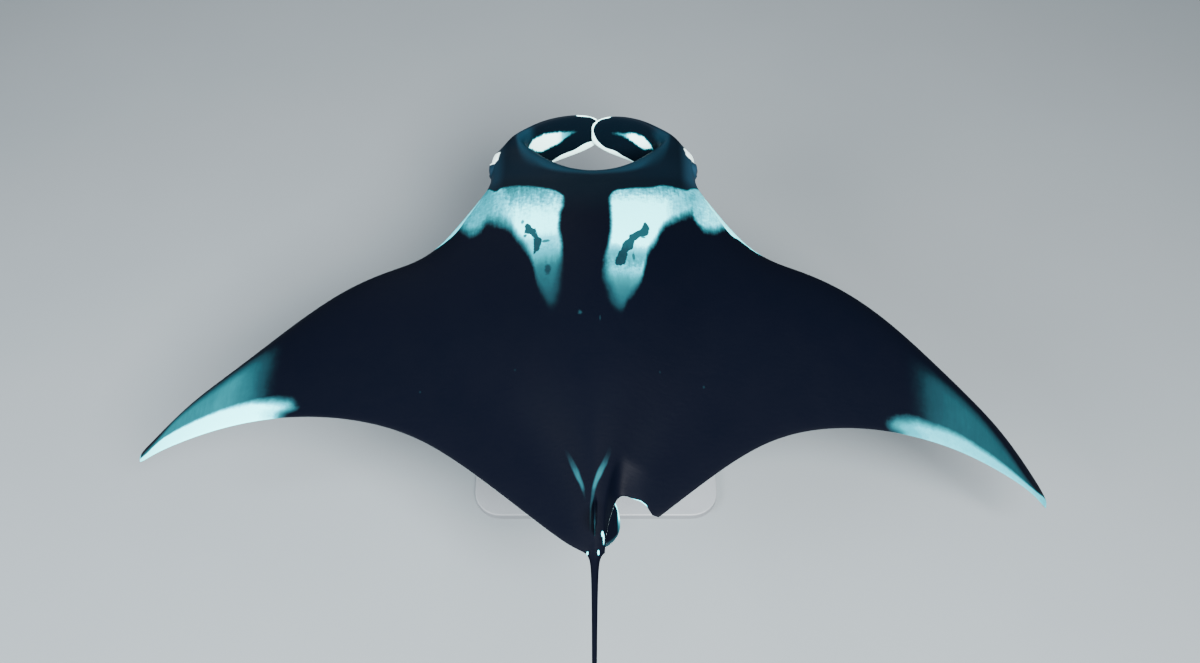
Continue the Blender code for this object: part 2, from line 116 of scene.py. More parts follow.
# ---- Curves ---------------------------------------------------------------------------------------
def curve_through(*points):
    """The natural cubic spline through (position, value) points, level beyond its ends. It reads one
    position or an array of them."""
    at, value = np.array(points, float).T
    gap = np.diff(at)
    system = np.eye(len(at))
    bends = np.zeros(len(at))
    for i in range(1, len(at) - 1):
        system[i, i - 1 : i + 2] = gap[i - 1], 2 * (gap[i - 1] + gap[i]), gap[i]
        bends[i] = 6 * ((value[i + 1] - value[i]) / gap[i] - (value[i] - value[i - 1]) / gap[i - 1])
    second = np.linalg.solve(system, bends)

    def read(x):
        x = np.clip(x, at[0], at[-1])
        i = np.clip(np.searchsorted(at, x, side="right") - 1, 0, len(gap) - 1)
        b, a = (x - at[i]) / gap[i], (at[i + 1] - x) / gap[i]
        bulge = (a**3 - a) * second[i] + (b**3 - b) * second[i + 1]
        return a * value[i] + b * value[i + 1] + bulge * gap[i] ** 2 / 6

    return read


def ease(low, high, x):
    """0 up to low, 1 from high on, and smooth in between. Low may be the greater of the two."""
    t = np.clip((x - low) / (high - low), 0.0, 1.0)
    return t * t * (3 - 2 * t)


def mix(a, b, t):
    return a + (b - a) * t


# ---- The flat animal ------------------------------------------------------------------------------
leading_edge = curve_through(
    (0.37, 0.030), (0.45, 0.242), (0.55, 0.350), (0.69, 0.388), (0.94, 0.532), (1.19, 0.743),
    (1.385, 0.852), (1.56, 0.942), (1.64, 0.952), (HALF_SPAN, 0.962),
)
trailing_edge = curve_through(
    (0.000, 1.445), (0.060, 1.434), (0.13, 1.382), (0.205, 1.316), (0.36, 1.184), (0.52, 1.067),
    (0.70, 1.004), (0.93, 0.979), (1.20, 0.990), (1.40, 1.006), (1.56, 1.003), (1.64, 0.996),
    (HALF_SPAN, 0.982),
)
neck_line = curve_through((0.0, 0.060), (0.20, 0.042), (0.37, 0.0))
back_line = curve_through(
    (0.00, 0.092), (0.06, 0.112), (0.20, 0.148), (0.42, 0.178), (0.65, 0.180), (0.90, 0.148),
    (1.10, 0.104), (1.25, 0.070), (1.36, 0.046), (1.445, 0.016),
)
belly_line = curve_through(
    (0.00, 0.108), (0.06, 0.124), (0.20, 0.158), (0.45, 0.182), (0.70, 0.172), (0.95, 0.130),
    (1.15, 0.080), (1.30, 0.042), (1.445, 0.014),
)
wing_half = curve_through(
    (0.00, 0.080), (0.37, 0.076), (0.60, 0.058), (0.90, 0.040), (1.20, 0.026), (1.50, 0.013),
    (1.75, 0.005),
)
ridge_half_width = curve_through(
    (0.0, 0.52), (0.6, 0.52), (0.85, 0.40), (1.02, 0.25), (1.16, 0.13), (1.28, 0.075),
    (1.445, 0.035),
)


NECK_BLOCK = 0.385
NECK_SQUARENESS = 2.5
NECK_FADE = (0.0, 0.42)  # the s between which the block gives way to the ridge


def wing_section(share):
    """Half thickness of the wing at this share of its chord, as a share of the thickest. It is the
    usual formula of a wing's section: a root for the round front, then powers down to the rear."""
    x = WING_ROUND + (1 - WING_ROUND) * share
    root = 2.966 * math.sqrt(x)
    return max(root - 1.259 * x - 3.512 * x**2 + 2.840 * x**3 - 1.014 * x**4, 0.0)


def trunk_bulge(u, s, crest):
    """What the trunk adds to the wing's half thickness: a block at the neck, a ridge further back."""
    block = math.sqrt(max(0.0, 1 - (u / NECK_BLOCK) ** NECK_SQUARENESS))
    ridge = (1 + math.cos(math.pi * min(u / ridge_half_width(s), 1.0))) / 2
    return crest * mix(block, ridge, ease(*NECK_FADE, s))


def disc_point(u, share, upper):
    """A point of the flat disc: u out from the midline, share of the way from front to rear."""
    front = neck_line(u) if u < WING_ROOT else leading_edge(u)
    s = mix(front, trailing_edge(u), share)
    profile = back_line if upper else belly_line
    plate = wing_half(u) * wing_section(share) + EDGE_HALF
    middle = wing_half(0) * wing_section(share) + EDGE_HALF
    half = plate + trunk_bulge(u, s, max(profile(s) - middle, 0.0))
    return Vector((u, s, half if upper else -half))


CHORD_SHARES = (0, 0.03, 0.09, 0.18, 0.30, 0.43, 0.56, 0.69, 0.81, 0.91, 1)
TRUNK_FRONT = (0, 0.10, 0.20, 0.29, WING_ROOT)
TRUNK_REAR = (0, 0.020, 0.062, 0.17, WING_ROOT)
WING_STEPS = 11
TIP_CROWDING = 0.6  # how far the lines crowd towards the wing's tip, from 0 for even steps


def columns(share):
    """How far out each lengthwise line of the cage lies, at this share of the chord."""
    trunk = [mix(a, b, share**2) for a, b in zip(TRUNK_FRONT, TRUNK_REAR)]
    reach = HALF_SPAN - WING_ROOT
    steps = [i / WING_STEPS for i in range(1, WING_STEPS + 1)]
    return trunk + [WING_ROOT + reach * mix(t, math.sin(t * math.pi / 2), TIP_CROWDING) for t in steps]


# Rings of the head, from the neck forwards and then back into the mouth. Each has its plan as
# (x, s) at five places from the midline to the side, and its upper and lower heights there.
HEAD_RINGS = (
    # between the eyes
    (((0, 0.028), (0.10, 0.012), (0.20, -0.012), (0.300, -0.055), (0.374, -0.060)),
     (0.106, 0.106, 0.104, 0.094, 0.045), (0.116, 0.116, 0.114, 0.104, 0.058)),
    # the brow and the cheek, where the head fins leave on the outside
    (((0, 0.006), (0.095, -0.010), (0.175, -0.056), (0.262, -0.118), (0.382, -0.127)),
     (0.096, 0.097, 0.098, 0.098, 0.050), (0.112, 0.114, 0.122, 0.134, 0.072)),
    # the rim of the mouth
    (((0, -0.006), (0.085, -0.020), (0.158, -0.060), (0.205, -0.116), (0.238, -0.128)),
     (0.078, 0.080, 0.082, 0.076, 0.030), (0.092, 0.094, 0.104, 0.118, 0.050)),
    # inside the lips
    (((0, 0.012), (0.080, -0.004), (0.148, -0.040), (0.186, -0.088), (0.200, -0.096)),
     (0.056, 0.058, 0.058, 0.044, 0.014), (0.068, 0.070, 0.074, 0.066, 0.028)),
    # the mouth's end
    (((0, 0.125), (0.070, 0.120), (0.130, 0.100), (0.170, 0.060), (0.180, 0.040)),
     (0.030, 0.030, 0.026, 0.018, 0.006), (0.040, 0.040, 0.034, 0.024, 0.012)),
)

# The head fins: each ring's middle as (x, s), the way across it, its thickness, top and bottom.
HEAD_FIN_RINGS = (
    ((0.290, -0.163), (0.94, -0.34), 0.110, 0.098, 0.136),
    ((0.244, -0.213), (0.84, -0.54), 0.052, 0.095, 0.142),
    ((0.186, -0.252), (0.52, -0.85), 0.032, 0.097, 0.138),
    ((0.120, -0.273), (0.20, -0.98), 0.026, 0.106, 0.112),
    ((0.072, -0.281), (0.06, -1.00), 0.022, 0.105, 0.084),
    ((0.036, -0.286), (0.02, -1.00), 0.020, 0.089, 0.054),
    ((0.012, -0.288), (0.00, -1.00), 0.018, 0.058, 0.022),
)
HEAD_FIN_EDGE = 0.55
HEAD_FIN_START = -0.13
HEAD_FIN_BEND = 0.20
HEAD_FIN_CROSSING = {1: 0.045, -1: 0.019}
HEAD_FIN_SHIFT = {1: -0.007, -1: 0.020}
HEAD_FIN_SINK = {1: 0.014, -1: 0.0}

TAIL_RINGS = (
    (1.475, 0.0125, 0.0135), (1.54, 0.0098, 0.0105), (1.66, 0.0080, 0.0084),
    (1.84, 0.0066, 0.0068), (2.04, 0.0054, 0.0054), (2.24, 0.0044, 0.0044),
    (2.44, 0.0034, 0.0034), (TAIL_END, 0.0022, 0.0022),
)


def stitch(bm, first, second, closed=False):
    """Quads between two lines of vertices of the same length."""
    count = len(first)
    for i in range(count if closed else count - 1):
        j = (i + 1) % count
        bm.faces.new((first[i], first[j], second[j], second[i]))


def add_line(bm, points):
    return [bm.verts.new(p) for p in points]


def add_head(bm, neck):
    """The head from the neck to the lips and into the mouth. Returns where the head fin joins it."""
    rings = [neck]
    for plan, over, under in HEAD_RINGS:
        upper = [(x, s, z) for (x, s), z in zip(plan, over)]
        lower = [(x, s, -z) for (x, s), z in zip(plan, under)]
        rings.append(add_line(bm, upper + lower[::-1]))
    cheek, rim = rings[2], rings[3]
    for back, front in zip(rings, rings[1:]):
        if back is cheek:
            stitch(bm, back[:4], front[:4])
            stitch(bm, back[6:], front[6:])
        else:
            stitch(bm, back, front)
    end = rings[-1]
    stitch(bm, end[:5], end[:4:-1])
    return cheek[3:7] + rim[6:2:-1]


def add_head_fin(bm, root):
    """A blade that leaves the side of the head, turns inwards and ends at the midline."""
    ring = root
    for (x, s), across, thick, top, bottom in HEAD_FIN_RINGS:
        across = Vector((*across, 0)).normalized()
        middle = Vector((x, s, 0))
        line = []
        for side, heights in ((0.5, (0, 1, 2, 3)), (-0.5, (3, 2, 1, 0))):
            for step in heights:
                fat = 1.0 if step in (1, 2) else HEAD_FIN_EDGE
                height = mix(top, -bottom, step / 3)
                line.append(middle + across * thick * fat * side + Vector((0, 0, height)))
        new = add_line(bm, line)
        stitch(bm, ring, new, closed=True)
        ring = new
    stitch(bm, ring[:4], ring[:3:-1])


def add_tail(bm, root):
    """A whip of diamond-shaped rings, which the subdivision rounds. Half of it, as of the body."""
    ring = root
    for s, wide, tall in TAIL_RINGS:
        points = ((0, s, tall), (wide, s, tall * 0.5), (wide, s, -tall * 0.5), (0, s, -tall))
        new = add_line(bm, points)
        stitch(bm, ring, new)
        ring = new
    bm.faces.new(ring)


def body_cage():
    """The left half of the flat animal, open at the midline, as a coarse cage."""
    bm = bmesh.new()
    upper, lower = (
        [add_line(bm, [disc_point(u, share, up) for u in columns(share)]) for share in CHORD_SHARES]
        for up in (True, False)
    )
    for sheet in (upper, lower):
        for front, back in zip(sheet, sheet[1:]):
            stitch(bm, front, back)
    root = len(TRUNK_FRONT) - 1
    stitch(bm, upper[0][root:], lower[0][root:])
    stitch(bm, upper[-1][1:], lower[-1][1:])
    stitch(bm, [row[-1] for row in upper], [row[-1] for row in lower])
    head_fin_root = add_head(bm, upper[0][: root + 1] + lower[0][root::-1])
    add_head_fin(bm, head_fin_root)
    add_tail(bm, [upper[-1][0], upper[-1][1], lower[-1][1], lower[-1][0]])
    bmesh.ops.recalc_face_normals(bm, faces=bm.faces)
    mesh = bpy.data.meshes.new("body_cage")
    bm.to_mesh(mesh)
    bm.free()
    return mesh


# ---- The pose -------------------------------------------------------------------------------------
DROOP_STEPS = 60


def droop_line(droop):
    """Where the wing's middle runs, from its root out: (x, z, slope) at even steps."""
    step = (POSE_SPAN - WING_ROOT) / DROOP_STEPS
    x, z, line = WING_ROOT, 0.0, []
    for i in range(DROOP_STEPS + 1):
        t = i / DROOP_STEPS
        slope = droop[0] * t + droop[1] * t**2 + droop[2] * t**3
        line.append((x, z, slope))
        x += step * math.cos(slope)
        z -= step * math.sin(slope)
    return np.array(line)


bite_edge = curve_through((0.030, 1.400), (0.052, 1.305), (0.110, 1.270), (0.150, 1.292),
                          (0.176, 1.344))
BITE_REACH = (0.030, 0.178)
BITE_TAPER = 0.10


def bitten(points):
    """Draws the rear corner of the right wing forwards to the edge of the old bite."""
    x, s, z = points.T
    edge, rear = bite_edge(-x), trailing_edge(-x)
    start = edge - BITE_TAPER
    drawn = start + (s - start) / (rear - start) * (edge - start)
    inside = (-x > BITE_REACH[0]) & (-x < BITE_REACH[1]) & (s > start)
    return np.stack([x, np.where(inside, drawn, s), z], 1)


def posed(points):
    """Where points of the flat animal go in the pose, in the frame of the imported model."""
    x, s, z = points.T.copy()
    side = np.where(x >= 0, 1, -1)
    u = np.abs(x)
    lean = HEAD_LEAN * ease(*HEAD_LEAN_FADE, s)
    fins = s < HEAD_FIN_START
    for wing in (1, -1):
        on = (u > WING_ROOT) & (side == wing)
        t = (u[on] - WING_ROOT) / (POSE_SPAN - WING_ROOT)
        middle = (leading_edge(u[on]) + trailing_edge(u[on])) / 2
        z[on] += TWISTS[wing] * t * t * (1 - t) * (s[on] - middle)
        places = np.minimum(t, 1.0) * DROOP_STEPS
        steps = np.arange(DROOP_STEPS + 1)
        ax, az, slope = (np.interp(places, steps, column) for column in droop_line(DROOPS[wing]).T)
        x[on] = wing * (ax + z[on] * np.sin(slope))
        z[on] = az + z[on] * np.cos(slope)
        s[on] += SWEEPS[wing] * t * t
    along = np.where(fins, ease(HEAD_FIN_BEND, 0.0, u), 0.0)
    crossing, shift, sink = (np.where(side > 0, way[1], way[-1]) for way in
                             (HEAD_FIN_CROSSING, HEAD_FIN_SHIFT, HEAD_FIN_SINK))
    x -= side * crossing * along
    s += shift * along
    z -= sink * along
    return np.stack([x + lean, s - BODY_ORIGIN_S, z + BODY_HEIGHT], 1)


# ---- Working on meshes ----------------------------------------------------------------------------
def select_nothing():
    for obj in bpy.context.view_layer.objects:
        obj.select_set(False)


def only(obj):
    """Makes this object the one that is selected and active."""
    select_nothing()
    obj.select_set(True)
    bpy.context.view_layer.objects.active = obj


def new_object(name, data):
    obj = bpy.data.objects.new(name, data)
    bpy.context.scene.collection.objects.link(obj)
    return obj


def apply_modifiers(obj):
    only(obj)
    for modifier in list(obj.modifiers):
        bpy.ops.object.modifier_apply(modifier=modifier.name)


def positions(mesh):
    points = np.empty(len(mesh.vertices) * 3)
    mesh.vertices.foreach_get("co", points)
    return points.reshape(-1, 3)


def place(mesh, points):
    mesh.vertices.foreach_set("co", points.astype(np.float32).ravel())
    mesh.update()


def vertex_normals(mesh):
    normals = np.empty(len(mesh.vertices) * 3)
    mesh.vertices.foreach_get("normal", normals)
    return normals.reshape(-1, 3)


def refine(mesh, chosen):
    """Splits each face whose middle is chosen into four, and rounds the new points."""
    bm = bmesh.new()
    bm.from_mesh(mesh)
    bm.faces.ensure_lookup_table()
    middles = np.array([f.calc_center_median() for f in bm.faces])
    edges = {e for i in np.flatnonzero(chosen(middles)) for e in bm.faces[i].edges}
    made = bmesh.ops.subdivide_edges(bm, edges=list(edges), cuts=1, use_grid_fill=True)
    new = [v for v in made["geom_inner"] if isinstance(v, bmesh.types.BMVert)]
    for _ in range(2):
        bmesh.ops.smooth_vert(bm, verts=new, factor=0.5, use_axis_x=True, use_axis_y=True,
                              use_axis_z=True)
    bm.to_mesh(mesh)
    bm.free()


# ---- Relief of the skin ---------------------------------------------------------------------------
# The five gill slits of each side: inner end (x, s), outer end (x, s).
GILL_SLITS = (
    ((0.112, 0.150), (0.292, 0.162)), ((0.104, 0.226), (0.286, 0.232)),
    ((0.096, 0.302), (0.270, 0.300)), ((0.088, 0.376), (0.246, 0.366)),
    ((0.082, 0.448), (0.214, 0.430)),
)
GILL_ARCH = 0.014  # how far forwards the middle of each slit bows
GILL_LIP = 0.0045
GILL_DEPTH = 0.010
GILL_FALL = 0.026  # length of the flap's swell in front of the slit
GILL_WIDTH = 0.005
# The part of the belly that holds the gills: below this height, and between these u and these s.
GILL_HEIGHT = -0.03
GILL_REACH = (0.07, 0.33)
GILL_LENGTH = (0.115, 0.490)
SLIT_TRACE = 0.02  # as deep in a slit as this, the faces are refined once more
FACING_DOWN = -0.2


def gill_relief(x, s):
    """How far the skin stands out round the gill slits: a flap that swells, then drops into the slit.
    Also returns how deep in a slit each place lies, from 0 to 1."""
    relief, slit = np.zeros_like(x), np.zeros_like(x)
    for (x0, s0), (x1, s1) in GILL_SLITS:
        along = (np.abs(x) - x0) / (x1 - x0)
        inside = np.clip(along, 0, 1)
        strength = ease(-0.02, 0.14, along) * ease(1.02, 0.86, along)
        behind = s - (mix(s0, s1, inside) - GILL_ARCH * np.sin(math.pi * inside))
        swell = np.where(behind < 0, np.exp(-((behind / GILL_FALL) ** 2)),
                         np.exp(-((behind / GILL_WIDTH) ** 2)))
        groove = np.exp(-(((behind - 0.8 * GILL_WIDTH) / GILL_WIDTH) ** 2))
        relief += strength * (GILL_LIP * swell - GILL_DEPTH * groove)
        slit = np.maximum(slit, strength * groove)
    return relief, slit


EYE_AXIS = Vector((1.0, -0.10, 0.06)).normalized()
EYE_OPENING = (0.0245, 0.0190)  # half length and half height of the opening between the lids
LID_RISE = 0.0030
# The ridge round the opening and the crease outside it: where, in half openings, width and height.
LID_FOLDS = ((1.16, 0.15, 0.0022), (1.62, 0.16, -0.0018))
LID_EDGE = (0.90, 1.02)  # in half openings, where the skin falls away behind the ball
ORBIT_RISE = 0.0050
ORBIT_SPREAD = 0.0341
SOCKET_REACH = 0.10
SOCKET_DEPTH = 0.03
BEHIND_BALL = 0.0045
EYE_ZONES = (0.075, 0.060, 0.042)  # how far round the eye the skin is refined, step by step
EYE_ZONE_SHIFT = 0.02


def eye_on(side):
    """The centre and the axis of the eye on one side of the flat animal."""
    flip = np.array([side, 1.0, 1.0])
    return np.array(EYE_CENTRE) * flip, np.array(EYE_AXIS) * flip


def eye_relief(points, side):
    """The points of the head moved to stand round one eye: a swollen orbit, a thick lid and, within
    the opening, skin that falls away behind the ball."""
    centre, axis = eye_on(side)
    up = np.array([0, 0, 1.0]) - axis * axis[2]
    up /= np.linalg.norm(up)
    ahead = np.cross(up, axis)
    offset = points - centre
    out, along, above = offset @ axis, offset @ ahead, offset @ up
    reach = np.hypot(along, above)
    openings = np.hypot(along / EYE_OPENING[0], above / EYE_OPENING[1])
    near = (out > -SOCKET_DEPTH) & (reach < SOCKET_REACH)
    ball = np.sqrt(np.clip(EYE_RADIUS**2 - reach**2, 0, None))
    lid = np.sqrt(np.clip((EYE_RADIUS + LID_RISE) ** 2 - reach**2, 0, None))
    skin = out + ORBIT_RISE * np.exp(-((reach / ORBIT_SPREAD) ** 2))
    skin = np.where(reach < EYE_RADIUS, np.maximum(skin, lid), skin)
    for middle, width, height in LID_FOLDS:
        skin += height * np.exp(-(((openings - middle) / width) ** 2))
    hidden = np.minimum(ball - BEHIND_BALL, skin)
    new = mix(hidden, skin, ease(*LID_EDGE, openings))
    move = np.where(near, new - out, 0.0)
    return points + move[:, None] * axis


CHEEK_SPOT = (0.372, -0.160, 0.004)
CHEEK_RISE = 0.013
CHEEK_REACH = 0.027
CHEEK_TALL = 0.7  # how much a step in height counts against one along the skin
FACING_OUT = 0.2


def cheek_relief(points, normals):
    """The cheek swells in front of each eye, at the root of the head fin."""
    x, s, z = points.T
    apart = np.sqrt((np.abs(x) - CHEEK_SPOT[0]) ** 2 + (s - CHEEK_SPOT[1]) ** 2
                    + ((z - CHEEK_SPOT[2]) * CHEEK_TALL) ** 2)
    outer = normals[:, 0] * np.sign(x) > FACING_OUT
    rise = CHEEK_RISE * np.exp(-((apart / CHEEK_REACH) ** 2)) * outer
    return points + rise[:, None] * normals


def add_relief(mesh):
    """Sculpts the gills, the orbits and the cheeks into the flat skin. Returns how deep in a slit each
    vertex lies."""
    def gills(c):
        u, s, z = abs(c[:, 0]), c[:, 1], c[:, 2]
        inside = (u > GILL_REACH[0]) & (u < GILL_REACH[1]) & (s > GILL_LENGTH[0]) & (s < GILL_LENGTH[1])
        return (z < GILL_HEIGHT) & inside

    def near_slit(c):
        return gills(c) & (gill_relief(c[:, 0], c[:, 1])[1] > SLIT_TRACE)

    def near_eye(reach):
        def chosen(c):
            apart = c - np.array(EYE_CENTRE)
            apart[:, 0] = abs(c[:, 0]) - EYE_CENTRE[0] - EYE_ZONE_SHIFT
            return np.linalg.norm(apart, axis=1) < reach
        return chosen

    for _ in range(FINE_GILLS):
        refine(mesh, gills)
    refine(mesh, near_slit)
    for reach in EYE_ZONES:
        refine(mesh, near_eye(reach))

    points, normals = positions(mesh), vertex_normals(mesh)
    relief, slit = gill_relief(points[:, 0], points[:, 1])
    under = (points[:, 2] < GILL_HEIGHT) & (normals[:, 2] < FACING_DOWN)
    points = points + (relief * under)[:, None] * normals
    points = cheek_relief(points, normals)
    for _, side in SIDES:
        points = eye_relief(points, side)
    place(mesh, points)
    return slit * under


# ---- Flat coordinates kept on the skin ------------------------------------------------------------
SHORTEST_CHORD = 0.004


def chord_share(points):
    """How far back on the wing's chord each point lies, from 0 at the front to 1 at the rear."""
    x, s, _ = points.T
    u = np.clip(np.abs(x), WING_ROOT, HALF_SPAN)
    front, rear = leading_edge(u), trailing_edge(u)
    return (s - front) / np.maximum(rear - front, SHORTEST_CHORD)


def keep_on_corners(mesh, name, pairs):
    """Writes a pair of values for each vertex to a map on the mesh's corners."""
    corner_vertex = np.empty(len(mesh.loops), np.int32)
    mesh.loops.foreach_get("vertex_index", corner_vertex)
    layer = mesh.uv_layers.new(name=name, do_init=False)
    layer.uv.foreach_set("vector", pairs[corner_vertex].astype(np.float32).ravel())


def keep_flat_place(mesh, points, slit, rim):
    """The maps that the markings read: plan (x, s), depth (z, chord share) and relief (how deep in a
    gill slit, and the tone of the painted highlight on the rim of a small fin)."""
    keep_on_corners(mesh, "plan", points[:, :2])
    keep_on_corners(mesh, "depth", np.stack([points[:, 2], chord_share(points)], 1))
    keep_on_corners(mesh, "relief", np.stack([slit, rim], 1))


# ---- Small fins -----------------------------------------------------------------------------------
PELVIC_RIBS = (
    (0.008, 1.205, 1.428, 0.0070), (0.030, 1.215, 1.412, 0.0065), (0.050, 1.238, 1.396, 0.0055),
    (0.062, 1.262, 1.380, 0.0040), (0.071, 1.300, 1.358, 0.0025), (0.074, 1.322, 1.344, 0.0015),
)
PELVIC_HEIGHT = -0.034
PELVIC_MIDDLE = 1.30
PELVIC_RISE = 0.10
DORSAL_RIBS = (
    (-0.010, 1.235, 1.400, 0.0080), (0.030, 1.258, 1.400, 0.0070), (0.056, 1.300, 1.402, 0.0055),
    (0.078, 1.338, 1.406, 0.0040), (0.092, 1.368, 1.408, 0.0025), (0.097, 1.384, 1.404, 0.0015),
)
# Painted highlight on the rim of each pelvic fin: its width at the front edge, tip and rear edge, and its
# tone by s.
PELVIC_RIMS = {1: (0.003, 0.005, 0.002), -1: (0.013, 0.008, 0.003)}
PELVIC_RIM_HIGHLIGHT = {
    1: curve_through((1.20, 0.30), (1.42, 0.30)),
    -1: curve_through((1.20, 1.0), (1.315, 1.0), (1.335, 0.45), (1.36, 0.26), (1.42, 0.15)),
}
# Painted highlight along the crest of the dorsal fin: its width at the front edge, tip and rear edge, and
# its tone by s.
DORSAL_RIMS = (0.0010, 0.0010, 0.003)
DORSAL_RIM_HIGHLIGHT = curve_through((1.22, 0.03), (1.36, 0.05), (1.41, 0.13))
SKIN_SIDE = 0.03  # the height that the markings see on the upper side of a pelvic fin
RIB_STEPS = 18
SHARE_STEPS = 16
FRONT_CROWDING = 1.6  # the lines along a blade crowd towards its front edge
FIN_EDGE_HALF = 0.0008
RIM_STEEPNESS = 2.5
OFF_MIDLINE = 1e-5  # keeps the dorsal fin's edges off the seam along the back


def foil_fin(name, ribs, rims, rim_tone, place_point):
    """A closed blade with a rounded front edge, in the flat frame. rims is the width of the pale rim
    at its front edge, its tip and its rear edge, and rim_tone its tone by s. The pale rim is a painted
    highlight."""
    front, rear, half = (curve_through(*((rib[0], rib[i]) for rib in ribs)) for i in (1, 2, 3))
    root, tip = ribs[0][0], ribs[-1][0]
    outs = [mix(root, tip, math.sin(math.pi / 2 * i / RIB_STEPS)) for i in range(RIB_STEPS + 1)]
    shares = [(i / SHARE_STEPS) ** FRONT_CROWDING for i in range(SHARE_STEPS + 1)]
    bm = bmesh.new()
    sheets, pale, upper_side = [], [], []
    for side in (1, -1):
        sheet = []
        for out in outs:
            line = []
            for share in shares:
                s = mix(front(out), rear(out), share)
                across = side * (half(out) * wing_section(share) + FIN_EDGE_HALF)
                line.append(place_point(out, s, across))
                # The pale rim is a painted highlight along the blade's edges.
                inset = (s - front(out), tip - out, rear(out) - s)
                near = max(1 - gap / width for gap, width in zip(inset, rims))
                pale.append(rim_tone(s) * min(max(near * RIM_STEEPNESS, 0.0), 1.0))
                upper_side.append(side)
            sheet.append(add_line(bm, line))
        sheets.append(sheet)
        for inner, outer in zip(sheet, sheet[1:]):
            stitch(bm, inner, outer)
    upper, lower = sheets
    for end in (0, -1):
        stitch(bm, upper[end], lower[end])
        stitch(bm, [line[end] for line in upper], [line[end] for line in lower])
    bmesh.ops.recalc_face_normals(bm, faces=bm.faces)
    mesh = bpy.data.meshes.new(name)
    bm.to_mesh(mesh)
    bm.free()
    marked = positions(mesh)
    marked[:, 2] = np.where(marked[:, 2] < 0, np.array(upper_side) * SKIN_SIDE, marked[:, 2])
    keep_flat_place(mesh, marked, np.zeros(len(marked)), np.array(pale))
    return new_object(name, mesh)


def pelvic_fin(name, side):
    def place_point(out, s, across):
        return (side * out, s, PELVIC_HEIGHT + PELVIC_RISE * (s - PELVIC_MIDDLE) + across)

    return foil_fin(name, PELVIC_RIBS, PELVIC_RIMS[side], PELVIC_RIM_HIGHLIGHT[side], place_point)


def dorsal_fin():
    def place_point(out, s, across):
        return (across + OFF_MIDLINE, s, out)

    return foil_fin("dorsal_blade", DORSAL_RIBS, DORSAL_RIMS, DORSAL_RIM_HIGHLIGHT, place_point)


# ---- Marks of the head fins, as distances on the skin ---------------------------------------------
# White edging inside the outline of a head fin: its width along the upper and the lower edge, by u.
UPPER_EDGING = {
    1: curve_through((0.0, 0.006), (0.030, 0.0037), (0.05, 0.0017), (0.085, 0.0016), (0.10, -0.004),
                     (0.20, -0.02)),
    -1: curve_through((0.0, 0.009), (0.025, 0.0048), (0.04, 0.0016), (0.075, 0.0013), (0.09, -0.004),
                      (0.20, -0.02)),
}
LOWER_EDGING = {
    1: curve_through((0.0, 0.0105), (0.022, 0.0174), (0.045, 0.0242), (0.067, 0.0325), (0.095, 0.0270),
                     (0.135, 0.0276), (0.160, 0.0163), (0.24, 0.006)),
    -1: curve_through((0.0, 0.0123), (0.025, 0.0224), (0.05, 0.0192), (0.065, 0.0186), (0.09, 0.0250),
                      (0.115, 0.0187), (0.14, 0.0123), (0.20, 0.006), (0.26, 0.003)),
}
# The white flash on the inner face: its upper and lower bounds, z by u.
FLASH_TOP = {
    1: curve_through((0.060, 0.000), (0.090, 0.030), (0.120, 0.038), (0.155, 0.043), (0.190, 0.048),
                     (0.220, 0.050), (0.240, 0.040), (0.260, 0.000)),
    -1: curve_through((0.050, 0.000), (0.078, 0.028), (0.115, 0.033), (0.147, 0.039), (0.179, 0.037),
                      (0.206, 0.026), (0.222, 0.006), (0.240, -0.040)),
}
FLASH_FOOT = {
    1: curve_through((0.060, 0.060), (0.090, 0.030), (0.118, 0.006), (0.137, -0.017), (0.166, -0.032),
                     (0.193, -0.036), (0.212, -0.018), (0.226, 0.010), (0.240, 0.040), (0.260, 0.080)),
    -1: curve_through((0.050, 0.056), (0.078, 0.028), (0.115, 0.017), (0.142, -0.001), (0.170, -0.021),
                      (0.198, -0.020), (0.213, -0.002), (0.222, 0.006), (0.240, 0.052)),
}

FIN_MARKS = ("fin_edging", "fin_flash", "fin_inside")
FIN_MARKS_START = -0.10
FIN_MARKS_FADE = (-0.030, 0.040)  # the heights between which the lower edging gives way to the upper
FIN_OUTLINE_START = -0.15
FIN_OUTLINE_END = 0.275  # how far out the outline is left open, towards the fin's root
FIN_OUTLINE_DIGITS = 5
WELL_OUTSIDE = -0.05
INWARD_SHARE = 0.6  # how much a face that looks to the midline counts against one that looks back


def half_hull(points, turn):
    """The upper (turn 1) or the lower (turn -1) side of the convex hull of sorted flat points."""
    line = []
    for u, z in points:
        while len(line) > 1:
            (au, az), (bu, bz) = line[-2:]
            if turn * ((bu - au) * (z - az) - (bz - az) * (u - au)) < 0:
                break
            line.pop()
        line.append((u, z))
    return line


def fin_outline(points):
    """The corners round a head fin seen along it, as (u, z), from the top of its root round the tip
    and back."""
    x, s, z = points.round(FIN_OUTLINE_DIGITS).T
    on = s < FIN_OUTLINE_START
    flat = sorted(set(zip(np.abs(x[on]), z[on])))
    upper, lower = half_hull(flat, 1), half_hull(flat, -1)
    return [corner for corner in upper[:0:-1] + lower if corner[0] < FIN_OUTLINE_END]


def inside_outline(u, z, outline):
    """How far inside the outline each place lies."""
    nearest = np.full(len(u), 1.0)
    for (au, az), (bu, bz) in zip(outline, outline[1:]):
        du, dz = bu - au, bz - az
        along = np.clip(((u - au) * du + (z - az) * dz) / (du * du + dz * dz), 0, 1)
        nearest = np.minimum(nearest, np.hypot(u - au - along * du, z - az - along * dz))
    return nearest


